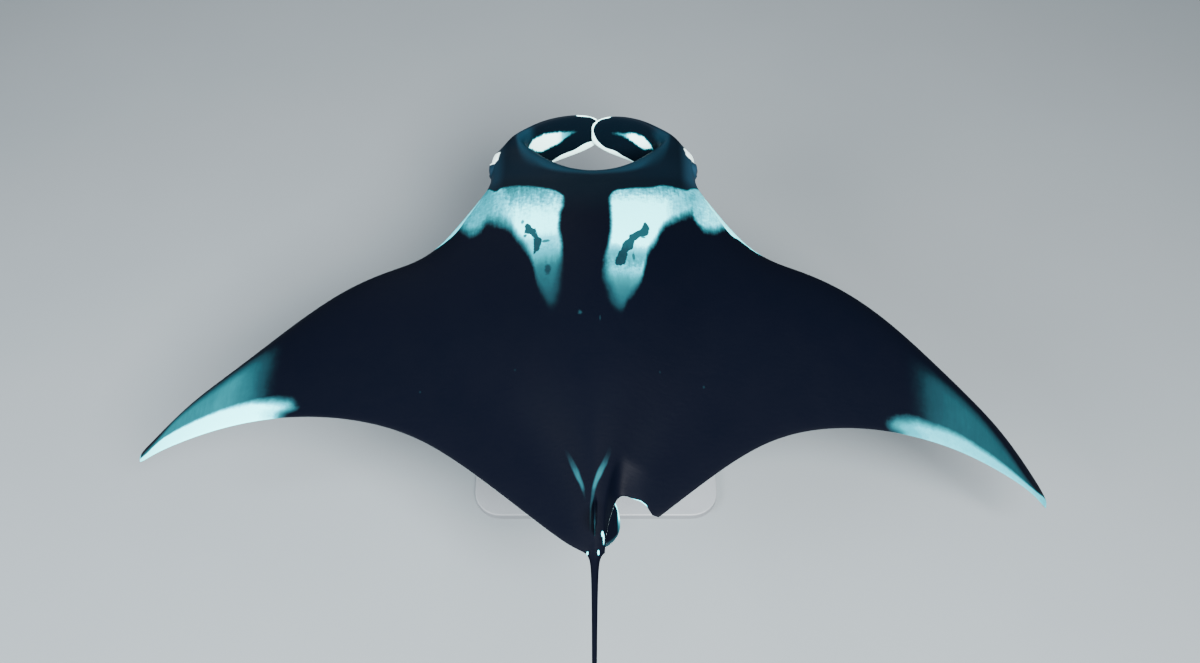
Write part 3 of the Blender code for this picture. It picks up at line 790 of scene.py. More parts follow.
def head_fin_marks(points, normals):
    """White of the head fins, in metres inside its edge: the edging of the inner face and, apart from
    it, the flash. Also which way each place faces: 1 to the mouth, -1 away from it."""
    x, s, z = points.T
    u = np.abs(x)
    inward = normals[:, 0] * -np.sign(x) * INWARD_SHARE + normals[:, 1]
    edging, flash = np.full(len(x), WELL_OUTSIDE), np.full(len(x), WELL_OUTSIDE)
    deep = inside_outline(u, z, fin_outline(points))
    for side in (1, -1):
        on = (s < FIN_MARKS_START) & (np.sign(x) == side)
        width = mix(LOWER_EDGING[side](u), UPPER_EDGING[side](u), ease(*FIN_MARKS_FADE, z))
        edging = np.where(on, width - deep, edging)
        within = np.minimum(FLASH_TOP[side](u) - z, z - FLASH_FOOT[side](u))
        flash = np.where(on, within, flash)
    return edging, flash, inward


# ---- The skin -------------------------------------------------------------------------------------
def build_skin():
    skin = new_object("manta_skin", body_cage())
    mirror = skin.modifiers.new("Mirror", "MIRROR")
    mirror.merge_threshold = 0.0001
    smooth = skin.modifiers.new("Smooth", "SUBSURF")
    smooth.levels = smooth.render_levels = SKIN_LEVELS
    apply_modifiers(skin)
    slit = add_relief(skin.data)
    points = positions(skin.data)
    keep_flat_place(skin.data, points, slit, np.zeros(len(points)))
    place(skin.data, bitten(points))

    blades = [pelvic_fin(f"pelvic_blade_{name}", side) for name, side in SIDES] + [dorsal_fin()]
    for blade in blades:
        union = skin.modifiers.new(blade.name, "BOOLEAN")
        union.operation = "UNION"
        union.solver = "EXACT"
        union.object = blade
    apply_modifiers(skin)
    for blade in blades:
        bpy.data.objects.remove(blade)

    mesh = skin.data
    points, normals = positions(mesh), vertex_normals(mesh)
    marks = head_fin_marks(points, normals)
    for name, values in zip(FIN_MARKS, marks):
        attribute = mesh.attributes.new(name, "FLOAT", "POINT")
        attribute.data.foreach_set("value", values.astype(np.float32))
    place(mesh, posed(points))
    mesh.shade_smooth()
    return skin


# ---- Node helpers ---------------------------------------------------------------------------------
class Paint:
    """Short names for the nodes of one material."""

    def __init__(self, name, roughness, specular=0.5, **more):
        self.material = bpy.data.materials.new(name)
        self.material.use_nodes = True
        self.tree = self.material.node_tree
        self.shader = self.tree.nodes["Principled BSDF"]
        self.give(Roughness=roughness, Specular_IOR_Level=specular, **more)

    def give(self, **values):
        """Sets or links the shader's own inputs, named with underscores for spaces."""
        for key, value in values.items():
            self.feed(self.shader.inputs[key.replace("_", " ")], value)

    def feed(self, socket, value):
        if isinstance(value, bpy.types.NodeSocket):
            self.tree.links.new(value, socket)
        else:
            socket.default_value = value

    def add(self, kind, inputs=None, **settings):
        node = self.tree.nodes.new("ShaderNode" + kind)
        for key, value in settings.items():
            setattr(node, key, value)
        for key, value in (inputs or {}).items():
            self.feed(node.inputs[key], value)
        return node

    def math(self, operation, *values):
        node = self.add("Math", operation=operation)
        for socket, value in zip(node.inputs, values):
            self.feed(socket, value)
        return node.outputs[0]

    def times(self, first, *others):
        for other in others:
            first = self.math("MULTIPLY", first, other)
        return first

    def most(self, first, *others):
        for other in others:
            first = self.math("MAXIMUM", first, other)
        return first

    def less(self, first, second):
        return self.math("SUBTRACT", first, second)

    def turn(self, value):
        return self.less(1.0, value)

    def stir(self, value, *noises):
        """The value with each (noise, amount) added to it in turn."""
        for noise, amount in noises:
            value = self.math("MULTIPLY_ADD", noise, amount, value)
        return value

    def length(self, a, b):
        return self.math("SQRT", self.math("ADD", self.times(a, a), self.times(b, b)))

    def step(self, value, low, high):
        """0 where value is below low, 1 above high, smooth between. Low may be the greater."""
        node = self.add("MapRange", {0: value, 1: low, 2: high}, interpolation_type="SMOOTHSTEP")
        return node.outputs[0]

    def range(self, value, low, high, new_low, new_high):
        node = self.add("MapRange", {0: value, 1: low, 2: high, 3: new_low, 4: new_high})
        return node.outputs[0]

    def blend(self, share, first, second):
        node = self.add("Mix", {0: share, 6: first, 7: second}, data_type="RGBA")
        return node.outputs[2]

    def either(self, share, first, second):
        node = self.add("Mix", {0: share, 2: first, 3: second}, data_type="FLOAT")
        return node.outputs[0]

    def vector(self, x, y, z):
        return self.add("CombineXYZ", {0: x, 1: y, 2: z}).outputs[0]

    def noise(self, vector, scale=1.0, detail=2.0, roughness=0.5):
        """Smooth noise about 0, from about -0.5 to 0.5."""
        node = self.add("TexNoise", {"Vector": vector, "Scale": scale, "Detail": detail,
                                     "Roughness": roughness})
        return self.less(node.outputs[0], 0.5)

    def curve(self, value, *points):
        """Reads a smooth curve through (position, value) points."""
        start, end = points[0][0], points[-1][0]
        levels = [level for _, level in points]
        low, span = min(levels), max(max(levels) - min(levels), 1e-6)
        node = self.add("FloatCurve", {1: self.range(value, start, end, 0.0, 1.0)})
        marks = node.mapping.curves[0].points
        placed = [((at - start) / (end - start), (level - low) / span) for at, level in points]
        marks[0].location = placed[0]
        marks[1].location = placed[-1]
        for location in placed[1:-1]:
            marks.new(*location)
        for mark in marks:
            mark.handle_type = "AUTO_CLAMPED"
        node.mapping.update()
        return self.math("MULTIPLY_ADD", node.outputs[0], span, low)

    def ramp(self, value, *stops):
        node = self.add("ValToRGB", {0: value})
        elements = node.color_ramp.elements
        elements[0].position, elements[0].color = stops[0][0], (*stops[0][1], 1)
        elements[1].position, elements[1].color = stops[-1][0], (*stops[-1][1], 1)
        for at, colour in stops[1:-1]:
            elements.new(at).color = (*colour, 1)
        return node.outputs[0]

    def bump(self, height, distance, strength=1.0, below=None):
        inputs = {"Height": height, "Distance": distance, "Strength": strength}
        if below is not None:
            inputs["Normal"] = below
        return self.add("Bump", inputs).outputs[0]

    def object_place(self):
        return self.add("TexCoord").outputs["Object"]


# ---- The skin's markings --------------------------------------------------------------------------
# Edges of the white shoulder patches in the flat frame, for each side: the inner edge as u by s, the
# front and the rear edge as s by u.
PATCH_INNER = {
    1: ((0.15, 0.100), (0.20, 0.098), (0.256, 0.109), (0.34, 0.113), (0.41, 0.105), (0.51, 0.109),
        (0.64, 0.117), (0.70, 0.130)),
    -1: ((0.14, 0.066), (0.18, 0.057), (0.29, 0.060), (0.40, 0.050), (0.48, 0.034), (0.54, 0.032),
         (0.60, 0.040), (0.70, 0.058)),
}
PATCH_FRONT = {
    1: ((0.09, 0.170), (0.102, 0.160), (0.131, 0.131), (0.184, 0.106), (0.255, 0.085), (0.291, 0.079),
        (0.322, 0.080), (0.338, 0.092), (0.352, 0.080), (0.372, 0.052), (0.420, 0.020)),
    -1: ((0.05, 0.180), (0.058, 0.162), (0.075, 0.136), (0.129, 0.118), (0.199, 0.104), (0.252, 0.085),
         (0.291, 0.087), (0.319, 0.091), (0.345, 0.072), (0.372, 0.048), (0.420, 0.020)),
}
PATCH_REAR = {
    1: ((0.09, 0.700), (0.127, 0.690), (0.167, 0.620), (0.188, 0.560), (0.204, 0.475), (0.220, 0.420),
        (0.251, 0.358), (0.288, 0.291), (0.330, 0.262), (0.362, 0.246), (0.382, 0.280), (0.410, 0.292),
        (0.440, 0.262), (0.470, 0.220)),
    -1: ((0.03, 0.660), (0.071, 0.691), (0.107, 0.638), (0.143, 0.572), (0.162, 0.500), (0.180, 0.425),
         (0.207, 0.375), (0.237, 0.304), (0.270, 0.272), (0.315, 0.236), (0.338, 0.220), (0.356, 0.262),
         (0.382, 0.286), (0.411, 0.280), (0.440, 0.258), (0.470, 0.220)),
}
# How bright each patch is by s in its inner part, and how bright it can be by u further out.
PATCH_TONE = {
    1: ((0.07, 0.30), (0.11, 0.50), (0.145, 0.64), (0.18, 0.76), (0.215, 0.88), (0.25, 0.96), (0.285, 1.00),
        (0.340, 0.98), (0.375, 0.80), (0.420, 0.70), (0.455, 0.56), (0.480, 0.40), (0.505, 0.28),
        (0.540, 0.23), (0.580, 0.20), (0.620, 0.15), (0.660, 0.11), (0.700, 0.06)),
    -1: ((0.07, 0.38), (0.11, 0.62), (0.145, 0.76), (0.18, 0.93), (0.215, 1.02), (0.390, 1.04),
         (0.415, 0.92), (0.440, 0.70), (0.480, 0.58), (0.525, 0.70), (0.555, 0.54), (0.600, 0.34),
         (0.650, 0.22), (0.700, 0.12)),
}
PATCH_LIMIT = {
    1: ((0.25, 1.10), (0.270, 0.92), (0.290, 0.81), (0.315, 0.71), (0.340, 0.66), (0.365, 0.60),
        (0.400, 0.64), (0.440, 0.62)),
    -1: ((0.24, 1.10), (0.265, 0.86), (0.290, 0.77), (0.315, 0.71), (0.340, 0.68), (0.365, 0.75),
         (0.390, 0.82), (0.440, 0.88)),
}
PATCH_REAR_SOFT = {1: (-0.042, 0.050), -1: (-0.032, 0.036)}
SPOT_STRENGTH = 0.78
# The dark spot within each patch: distance out of its middle, and its half width, by s.
SPOT_MIDDLE = {
    1: ((0.290, 0.220), (0.302, 0.220), (0.318, 0.217), (0.326, 0.211), (0.342, 0.210), (0.350, 0.199),
        (0.366, 0.192), (0.376, 0.187), (0.390, 0.185), (0.406, 0.1875), (0.422, 0.1905), (0.445, 0.199)),
    -1: ((0.295, 0.178), (0.321, 0.1753), (0.338, 0.1714), (0.350, 0.161), (0.364, 0.150), (0.373, 0.134),
         (0.384, 0.130), (0.398, 0.1168), (0.432, 0.1068), (0.441, 0.0988), (0.457, 0.0930),
         (0.483, 0.0855), (0.515, 0.0780)),
}
SPOT_HALF = {
    1: ((0.288, -0.004), (0.296, 0.003), (0.304, 0.0095), (0.320, 0.0125), (0.327, 0.0190),
        (0.342, 0.0210), (0.350, 0.0105), (0.366, 0.0088), (0.375, 0.0130), (0.390, 0.0140),
        (0.406, 0.0115), (0.424, 0.0092), (0.436, 0.0050), (0.446, -0.003)),
    -1: ((0.294, -0.004), (0.303, 0.004), (0.313, 0.0100), (0.338, 0.0154), (0.348, 0.0215),
         (0.364, 0.0250), (0.373, 0.0175), (0.389, 0.0148), (0.406, 0.0172), (0.432, 0.0182),
         (0.441, 0.0138), (0.460, 0.0162), (0.486, 0.0175), (0.501, 0.0155), (0.512, -0.003)),
}
# Fainter dark marks round it: middle (x, s), half width and half length, strength.
FAINT_SPOTS = (((0.153, 0.516), 0.013, 0.027, 0.55), ((0.158, 0.390), 0.015, 0.008, 0.50),
               ((0.237, 0.285), 0.007, 0.014, 0.42), ((0.228, 0.354), 0.008, 0.009, 0.55),
               ((-0.127, 0.466), 0.006, 0.024, 0.50), ((-0.162, 0.372), 0.012, 0.007, 0.55))
# The pale band along the rear edge of each wing tip: the chord share where it starts, by u.
TIP_BAND = {
    1: ((0.93, 0.92), (0.98, 0.870), (1.02, 0.840), (1.06, 0.812), (1.10, 0.775), (1.14, 0.745),
        (1.18, 0.725), (1.23, 0.697), (1.28, 0.680), (1.33, 0.663), (1.38, 0.632), (1.43, 0.608),
        (1.48, 0.565), (1.53, 0.580), (1.58, 0.660), (1.68, 0.700)),
    -1: ((0.93, 0.94), (0.98, 0.893), (1.02, 0.868), (1.08, 0.845), (1.13, 0.815), (1.18, 0.800),
         (1.33, 0.803), (1.43, 0.815), (1.48, 0.810), (1.53, 0.770), (1.58, 0.660), (1.63, 0.450),
         (1.68, 0.300)),
}
TIP_BAND_START = {1: 0.945, -1: 0.930}
TIP_BAND_SOFT = {1: (-0.080, 0.065), -1: (-0.080, 0.070)}
TIP_BAND_TONE = {1: 1.04, -1: 0.72}
# The grey of the tip ahead of it: where it begins and is full, and the chord share of its front edge.
TIP_GREY = {1: (0.985, 1.200), -1: (0.960, 1.180)}
TIP_FRONT = {
    1: ((1.00, 0.24), (1.08, 0.20), (1.17, 0.18), (1.25, 0.19), (1.34, 0.21), (1.42, 0.22), (1.48, 0.33),
        (1.56, 0.46), (1.66, 0.60)),
    -1: ((1.00, 0.26), (1.08, 0.25), (1.16, 0.25), (1.225, 0.26), (1.29, 0.32), (1.36, 0.42),
         (1.43, 0.54), (1.50, 0.66), (1.60, 0.74), (1.68, 0.78)),
}
TIP_TONE = {1: 0.39, -1: 0.20}
TIP_END = (1.640, 1.660)
TIP_END_TONE = 0.8
# Two pale lines that run back beside the dorsal fin: x, half width and tone, by s.
RIDGE_LINES = (
    (((1.12, 0.095), (1.165, 0.073), (1.186, 0.064), (1.205, 0.0555), (1.224, 0.0485), (1.248, 0.0385),
      (1.272, 0.0325), (1.310, 0.026)),
     ((1.12, 0.003), (1.165, 0.0075), (1.186, 0.0080), (1.224, 0.0068), (1.248, 0.0050), (1.31, 0.0030)),
     ((1.120, 0.0), (1.165, 0.08), (1.186, 0.14), (1.205, 0.23), (1.224, 0.27), (1.248, 0.26),
      (1.272, 0.08), (1.310, 0.0))),
    (((1.12, -0.046), (1.153, -0.041), (1.171, -0.034), (1.190, -0.0265), (1.208, -0.0175),
      (1.226, -0.0105), (1.250, -0.001), (1.273, 0.0045), (1.297, 0.0080), (1.320, 0.0122),
      (1.400, 0.0130)),
     ((1.12, 0.003), (1.171, 0.0080), (1.208, 0.0082), (1.250, 0.0056), (1.297, 0.0042), (1.330, 0.0022),
      (1.400, 0.0020)),
     ((1.120, 0.0), (1.171, 0.08), (1.190, 0.19), (1.208, 0.28), (1.226, 0.34), (1.250, 0.33),
      (1.273, 0.17), (1.297, 0.13), (1.330, 0.13), (1.370, 0.08), (1.400, 0.0))),
)
# Small white marks by the root of the tail: middle (x, s), half width, half length.
REAR_MARKS = (((-0.0222, 1.3915), 0.0044, 0.0105), ((-0.0258, 1.4060), 0.0026, 0.0180),
              ((0.0210, 1.4440), 0.0032, 0.0055), ((-0.0106, 1.4450), 0.0034, 0.0090))
# The white line along the front edge of each wing, partly the pale underside seen over the edge and
# partly a painted highlight: the chord share of its rear side, by u.
EDGE_LINE = {
    1: ((0.365, 0.030), (0.385, 0.014), (0.411, 0.001), (0.427, -0.009), (0.442, -0.016), (0.458, -0.012),
        (0.475, -0.014), (0.495, -0.023), (0.515, -0.028), (0.540, -0.031), (0.600, -0.050)),
    -1: ((0.365, 0.030), (0.385, 0.018), (0.411, 0.012), (0.427, -0.002), (0.442, -0.002), (0.458, 0.001),
         (0.477, -0.003), (0.496, -0.023), (0.515, -0.027), (0.540, -0.019), (0.565, -0.014),
         (0.600, -0.012)),
}
EDGE_LINE_TONE = {1: 0.84, -1: 0.97}
# The line along the rim of the bite, where the pale edge of its scar lies: s at the midline, and slope.
BITE_LINE = (1.4964, 0.88)
# Where the dark of the back ends on the side of the head: height by s.
SIDE_LINE = {
    1: ((-0.30, -0.012), (-0.25, -0.006), (-0.21, 0.004), (-0.175, 0.018), (-0.150, 0.030), (-0.136, 0.044),
        (-0.122, 0.060), (-0.092, 0.060), (-0.078, 0.036), (-0.060, -0.026), (0.05, -0.026), (0.15, -0.012),
        (0.30, -0.001), (1.40, -0.001)),
    -1: ((-0.30, -0.012), (-0.25, -0.006), (-0.21, 0.004), (-0.180, 0.020), (-0.156, 0.042),
         (-0.140, 0.060), (-0.110, 0.060), (-0.096, 0.036), (-0.078, -0.026), (0.05, -0.026),
         (0.15, -0.012), (0.30, -0.001), (1.40, -0.001)),
}
# Faint old scars on the back: middle (x, s), half width, half length, strength.
SCARS = (((0.048, 0.698), 0.010, 0.012, 0.14), ((-0.015, 0.721), 0.003, 0.012, 0.10),
         ((-0.338, 0.901), 0.006, 0.007, 0.08), ((0.545, 0.907), 0.005, 0.006, 0.09),
         ((0.249, 0.859), 0.005, 0.006, 0.07), ((-0.200, 0.877), 0.004, 0.006, 0.07))

# Painted teal sheen along the rolled rim of the mouth: the rim's s by u, and the sheen's strength on each
# cheek.
MOUTH_RIM = ((0.0, 0.036), (0.05, 0.032), (0.116, 0.022), (0.170, 0.002), (0.207, -0.026), (0.234, -0.050),
             (0.250, -0.070), (0.262, -0.095), (0.272, -0.130), (0.285, -0.190), (0.300, -0.260))
CHEEK_RIM_SHEEN = {1: 1.25, -1: 0.7}
# How strong the painted grey sheen beside the eye is on each side.
SHEEN_BESIDE_EYE = {1: 0.45, -1: 1.0}
# The tone of a head fin's flash by u, and the height where its outer face turns from dark to pale, by u.
FLASH_TONE = ((0.09, 0.30), (0.125, 0.74), (0.15, 1.0), (0.24, 1.0))
FIN_FOOT = ((0.0, 0.060), (0.05, 0.066), (0.08, 0.050), (0.12, 0.026), (0.20, 0.006), (0.30, -0.006))
# Where the dusky rear margin of the belly begins: chord share by u.
BELLY_MARGIN = ((0.30, 1.02), (0.50, 0.93), (0.80, 0.84), (1.20, 0.78), (1.68, 0.72))

BLACK = (0.0006, 0.0010, 0.0028)
# Painted sheen: the head's black, a little paler than the back's.
HEAD_SHEEN_BLACK = (0.0008, 0.0025, 0.0048)
# Painted sheen: the teal along the rolled rim of the mouth.
RIM_SHEEN_TEAL = (0.0027, 0.0106, 0.0180, 1)
# Painted sheen: the grey of the head's side beside each eye.
SIDE_SHEEN_GREY = (0.0056, 0.0175, 0.0300, 1)
# From black to white by tone.
SKIN_TONES = (
    (0.16, (0.0032, 0.0145, 0.0195)), (0.32, (0.0042, 0.0395, 0.0480)), (0.48, (0.0042, 0.0780, 0.0920)),
    (0.64, (0.0070, 0.1500, 0.1880)), (0.80, (0.0300, 0.3150, 0.3850)), (1.00, (0.1300, 0.8200, 0.8700)),
)
FIN_WHITE = (0.62, 1.0, 0.95)
CREAM = (0.66, 0.86, 0.84, 1)
BELLY_CLOUD = (0.52, 0.58, 0.58, 1)
DUSKY = (0.10, 0.12, 0.13, 1)
BLOTCH = (0.035, 0.040, 0.045, 1)
# Painted shade deep in the gill slits.
SLIT_SHADE = (0.012, 0.012, 0.014, 1)
# Painted shade inside the mouth.
THROAT_SHADE = (0.020, 0.018, 0.019, 1)


class SkinPaint(Paint):
    """The paint of the skin, with the places of the flat animal and the noises that its marks share."""

    def __init__(self):
        super().__init__("manta_skin", 0.5, 0.02)
        plan, depth, relief = (self.read_map(name) for name in ("plan", "depth", "relief"))
        self.x, self.s, self.z, self.share = plan[0], plan[1], depth[0], depth[1]
        self.slit, self.rim = relief[0], relief[1]
        self.u = self.math("ABSOLUTE", self.x)
        self.left = self.math("GREATER_THAN", self.x, 0.0)
        # Edges waver a little, and the soft ones run out in streaks along the body.
        flat = self.stretched(1.0, 1.0, 1.0)
        self.waver = self.noise(flat, 26.0, 3.0, 0.55)
        self.ripple = self.noise(flat, 110.0, 2.0)
        self.fleck = self.noise(flat, 75.0, 4.0, 0.65)
        self.sheen = self.noise(flat, 9.0, 4.0, 0.6)
        self.streak = self.noise(self.stretched(110.0, 15.0, 40.0), 1.0, 3.0, 0.6)
        self.cloud = self.noise(self.stretched(16.0, 9.0, 1.0), 1.0, 3.0, 0.6)
        self.folds = self.noise(self.stretched(40.0, 90.0, 60.0), 1.0, 2.0)

    def read_map(self, name):
        return self.add("SeparateXYZ", {0: self.add("UVMap", uv_map=name).outputs[0]}).outputs

    def stretched(self, across, along, high):
        """The flat place, scaled in its three directions."""
        return self.vector(self.times(self.x, across), self.times(self.s, along), self.times(self.z, high))

    def sided(self, make):
        """What make gives for the right side and for the left side, each on its own side."""
        return self.either(self.left, make(-1), make(1))

    def pick(self, values):
        return self.sided(values.get)

    def by_side(self, table, value):
        """Reads the curve of each side at this value."""
        return self.sided(lambda side: self.curve(value, *table[side]))

    def dab(self, middle, half_width, half_length):
        """1 at the middle of a small upright oval, 0 at its edge, and less outside."""
        across = self.times(self.less(self.x, middle[0]), 1 / half_width)
        along = self.times(self.less(self.s, middle[1]), 1 / half_length)
        return self.turn(self.length(across, along))


def shoulder_patches(p):
    """The white patches with their dark spots, as a tone from 0 for black to 1 for white."""
    wavy_u = p.stir(p.u, (p.fleck, 0.006), (p.waver, 0.007))
    wavy_s = p.stir(p.s, (p.fleck, 0.008), (p.waver, 0.008))
    inner = p.less(wavy_u, p.by_side(PATCH_INNER, p.s))
    front = p.less(wavy_s, p.by_side(PATCH_FRONT, p.u))
    rear = p.less(p.by_side(PATCH_REAR, wavy_u), p.s)
    rear = p.stir(rear, (p.waver, 0.030), (p.streak, 0.020))
    soft = p.either(p.step(p.s, 0.42, 0.60), 0.012, 0.034)
    in_front = p.step(front, -0.007, 0.011)
    in_inner = p.step(inner, p.times(soft, -0.7), soft)
    in_rear = p.sided(lambda side: p.step(rear, *PATCH_REAR_SOFT[side]))

    # Brightest in the middle of its inner part; teal and mottled at the front, outwards and to the rear.
    uneven_s = p.stir(p.s, (p.streak, 0.060), (p.fleck, 0.060))
    by_length = p.stir(p.by_side(PATCH_TONE, uneven_s), (p.step(p.u, 0.29, 0.35), 0.5))
    tone = p.math("MINIMUM", by_length, p.by_side(PATCH_LIMIT, p.u))
    mottle = p.stir(0.0, (p.cloud, 0.30), (p.streak, 0.35), (p.fleck, 0.60))
    rough = p.range(tone, 0.70, 1.0, 1.0, 0.25)
    tone = p.times(tone, p.stir(1.0, (mottle, rough)), in_front, in_inner, in_rear)

    off = p.math("ABSOLUTE", p.less(p.u, p.by_side(SPOT_MIDDLE, p.s)))
    off = p.stir(off, (p.ripple, 0.006), (p.fleck, 0.007))
    half = p.by_side(SPOT_HALF, p.stir(p.s, (p.streak, 0.022)))
    spot = p.times(p.step(p.less(half, off), -0.0015, 0.0025), SPOT_STRENGTH)
    for *mark, strength in FAINT_SPOTS:
        spot = p.most(spot, p.times(p.step(p.stir(p.dab(*mark), (p.fleck, 1.2)), 0.0, 0.5), strength))
    return p.times(tone, p.turn(spot))


def wing_tips(p):
    """The pale rear band and the grey of each wing tip, as a tone from 0 to 1."""
    share = p.stir(p.share, (p.fleck, 0.018), (p.waver, 0.035))
    wavy_u = p.stir(p.u, (p.fleck, 0.014), (p.waver, 0.020))
    over = p.less(share, p.by_side(TIP_BAND, p.u))
    past = p.stir(p.less(wavy_u, p.pick(TIP_BAND_START)), (p.step(over, 0.01, 0.12), -0.045))
    band = p.times(p.sided(lambda side: p.step(over, *TIP_BAND_SOFT[side])), p.pick(TIP_BAND_TONE))
    band = p.times(band, p.step(past, -0.030, 0.030), p.range(past, 0.0, 0.10, 0.74, 1.0))
    band = p.times(band, p.stir(1.0, (p.fleck, 0.16)))

    ahead = p.less(share, p.by_side(TIP_FRONT, p.u))
    grey = p.times(p.sided(lambda side: p.step(wavy_u, *TIP_GREY[side])), p.pick(TIP_TONE))
    grey = p.times(grey, p.step(ahead, -0.160, 0.170))
    grey = p.times(grey, p.stir(1.0, (p.cloud, 0.36)), p.stir(1.0, (p.streak, 0.22)))
    return p.most(band, grey, p.times(p.step(p.u, *TIP_END), TIP_END_TONE))


def small_marks(p):
    """The lines beside the dorsal fin, the marks by the tail and the old scars, each as a tone."""
    marks = []
    for course, widths, tones in RIDGE_LINES:
        off = p.math("ABSOLUTE", p.less(p.x, p.curve(p.s, *course)))
        inside = p.step(p.less(p.curve(p.s, *widths), off), -0.004, 0.004)
        marks.append(p.times(inside, p.curve(p.s, *tones), p.stir(1.0, (p.streak, 0.5))))
    for mark in REAR_MARKS:
        marks.append(p.step(p.dab(*mark), 0.0, 0.35))
    for *mark, strength in SCARS:
        marks.append(p.times(p.step(p.stir(p.dab(*mark), (p.fleck, 1.4)), -0.2, 0.9), strength))
    return marks


def edge_marks(p):
    """The thin white line along each wing's front edge from the shoulder out (partly the pale underside
    seen over the edge, partly a painted highlight), the pale rim of the bite and the painted highlights
    on the rims of the small fins, each as a tone."""
    # Partly the pale underside, partly a painted highlight along the front edge of the wing.
    line = p.step(p.less(p.by_side(EDGE_LINE, p.u), p.share), -0.003, 0.003)
    line = p.times(line, p.step(p.u, 0.362, 0.374), p.step(p.u, 0.610, 0.550), p.step(p.s, 0.085, 0.110))
    line = p.times(line, p.pick(EDGE_LINE_TONE), p.stir(1.0, (p.fleck, 0.25)))
    start, slope = BITE_LINE
    off_bite = p.less(p.stir(start, (p.x, slope)), p.s)
    bite = p.times(p.step(off_bite, 0.0140, 0.0100), p.step(p.x, -0.102, -0.107))
    # The last is the painted highlight on the rims of the small fins.
    return [line, p.times(bite, p.step(p.x, -0.157, -0.151)), p.rim]


def mouth_rim_sheen(p):
    """Painted sheen: a soft teal highlight along the rolled rim of the mouth, which goes on down the cheek.
    """
    cheek = p.step(p.u, 0.16, 0.24)
    off_rim = p.less(p.curve(p.u, *MOUTH_RIM), p.s)
    rim_sheen = p.step(off_rim, p.either(cheek, -0.008, -0.040), p.either(cheek, 0.020, 0.060))
    rim_sheen = p.times(rim_sheen, p.step(p.s, -0.245, -0.185), p.step(p.z, 0.040, 0.070))
    return p.times(rim_sheen, p.either(cheek, 1.0, p.pick(CHEEK_RIM_SHEEN)))


def back_colour(p, rim_sheen):
    """The dark upper side and its pale marks. Painted sheen makes the head a little paler than the back,
    greyer beside each eye and teal along the rim of the mouth.
    """
    # Painted sheen: the black grows paler towards the head.
    dark = p.blend(p.step(p.s, 0.30, 0.08), (*BLACK, 1), (*HEAD_SHEEN_BLACK, 1))
    # Painted sheen: the side of the head beside each eye is greyer.
    sheen_beside_eye = p.times(p.step(p.u, 0.305, 0.362), p.step(p.s, 0.130, 0.0), p.pick(SHEEN_BESIDE_EYE))
    dark = p.blend(sheen_beside_eye, dark, SIDE_SHEEN_GREY)
    # Painted sheen: the teal of the mouth's rim.
    dark = p.blend(p.times(rim_sheen, p.step(p.u, 0.30, 0.272)), dark, RIM_SHEEN_TEAL)
    tone = p.most(shoulder_patches(p), wing_tips(p), *small_marks(p), *edge_marks(p))
    return p.blend(p.step(tone, 0.0, 0.12), dark, p.ramp(tone, (0.0, BLACK), *SKIN_TONES))


def belly_colour(p):
    """The underside: cream, with dusky edges to the wings, dark blotches behind the gills and painted shade
    in the gill slits.
    """
    margin = p.stir(p.share, (p.cloud, 0.05), (p.waver, 0.07))
    rear_dusk = p.step(p.less(margin, p.curve(p.u, *BELLY_MARGIN)), -0.22, 0.12)
    front_dusk = p.times(p.step(p.u, 0.62, 0.95), p.step(margin, 0.13, -0.02))
    dusk = p.times(p.most(rear_dusk, front_dusk), p.step(p.u, 0.26, 0.46), p.stir(0.86, (p.streak, 0.25)))
    colour = p.blend(dusk, CREAM, DUSKY)
    colour = p.blend(p.range(p.cloud, 0.0, 0.35, 0.0, 0.16), colour, BELLY_CLOUD)
    cells = p.add("TexVoronoi", {"Vector": p.vector(p.x, p.s, 0.0), "Scale": 9.0, "Randomness": 1.0})
    size = p.add("SeparateColor", {0: cells.outputs["Color"]}).outputs[0]
    reach = p.times(p.step(size, 0.55, 1.0), 0.26)
    edge = p.stir(cells.outputs["Distance"], (p.fleck, 0.10), (p.waver, 0.16))
    blotch = p.step(p.less(reach, edge), 0.0, 0.04)
    zone = p.times(p.step(p.u, 0.30, 0.20), p.step(p.s, 0.46, 0.54), p.step(p.s, 1.02, 0.86))
    colour = p.blend(p.times(blotch, zone, 0.9), colour, BLOTCH)
    # Painted shade: the skin darkens with how deep in a gill slit it lies.
    return p.blend(p.step(p.slit, 0.15, 0.75), colour, SLIT_SHADE)


def underside(p):
    """1 on the pale underside, which comes up the cheek in front of each eye."""
    line = p.by_side(SIDE_LINE, p.s)
    line = p.either(p.step(p.u, 0.29, 0.32), p.math("MINIMUM", line, -0.03), line)
    ragged = p.times(p.waver, p.range(p.s, 0.10, 0.35, 0.014, 0.0))
    drop = p.math("ADD", p.less(line, p.z), ragged)
    under_wing = p.turn(p.step(p.z, -0.0006, 0.0006))
    return p.either(p.step(p.s, 0.28, 0.34), p.step(drop, -0.002, 0.004), under_wing)


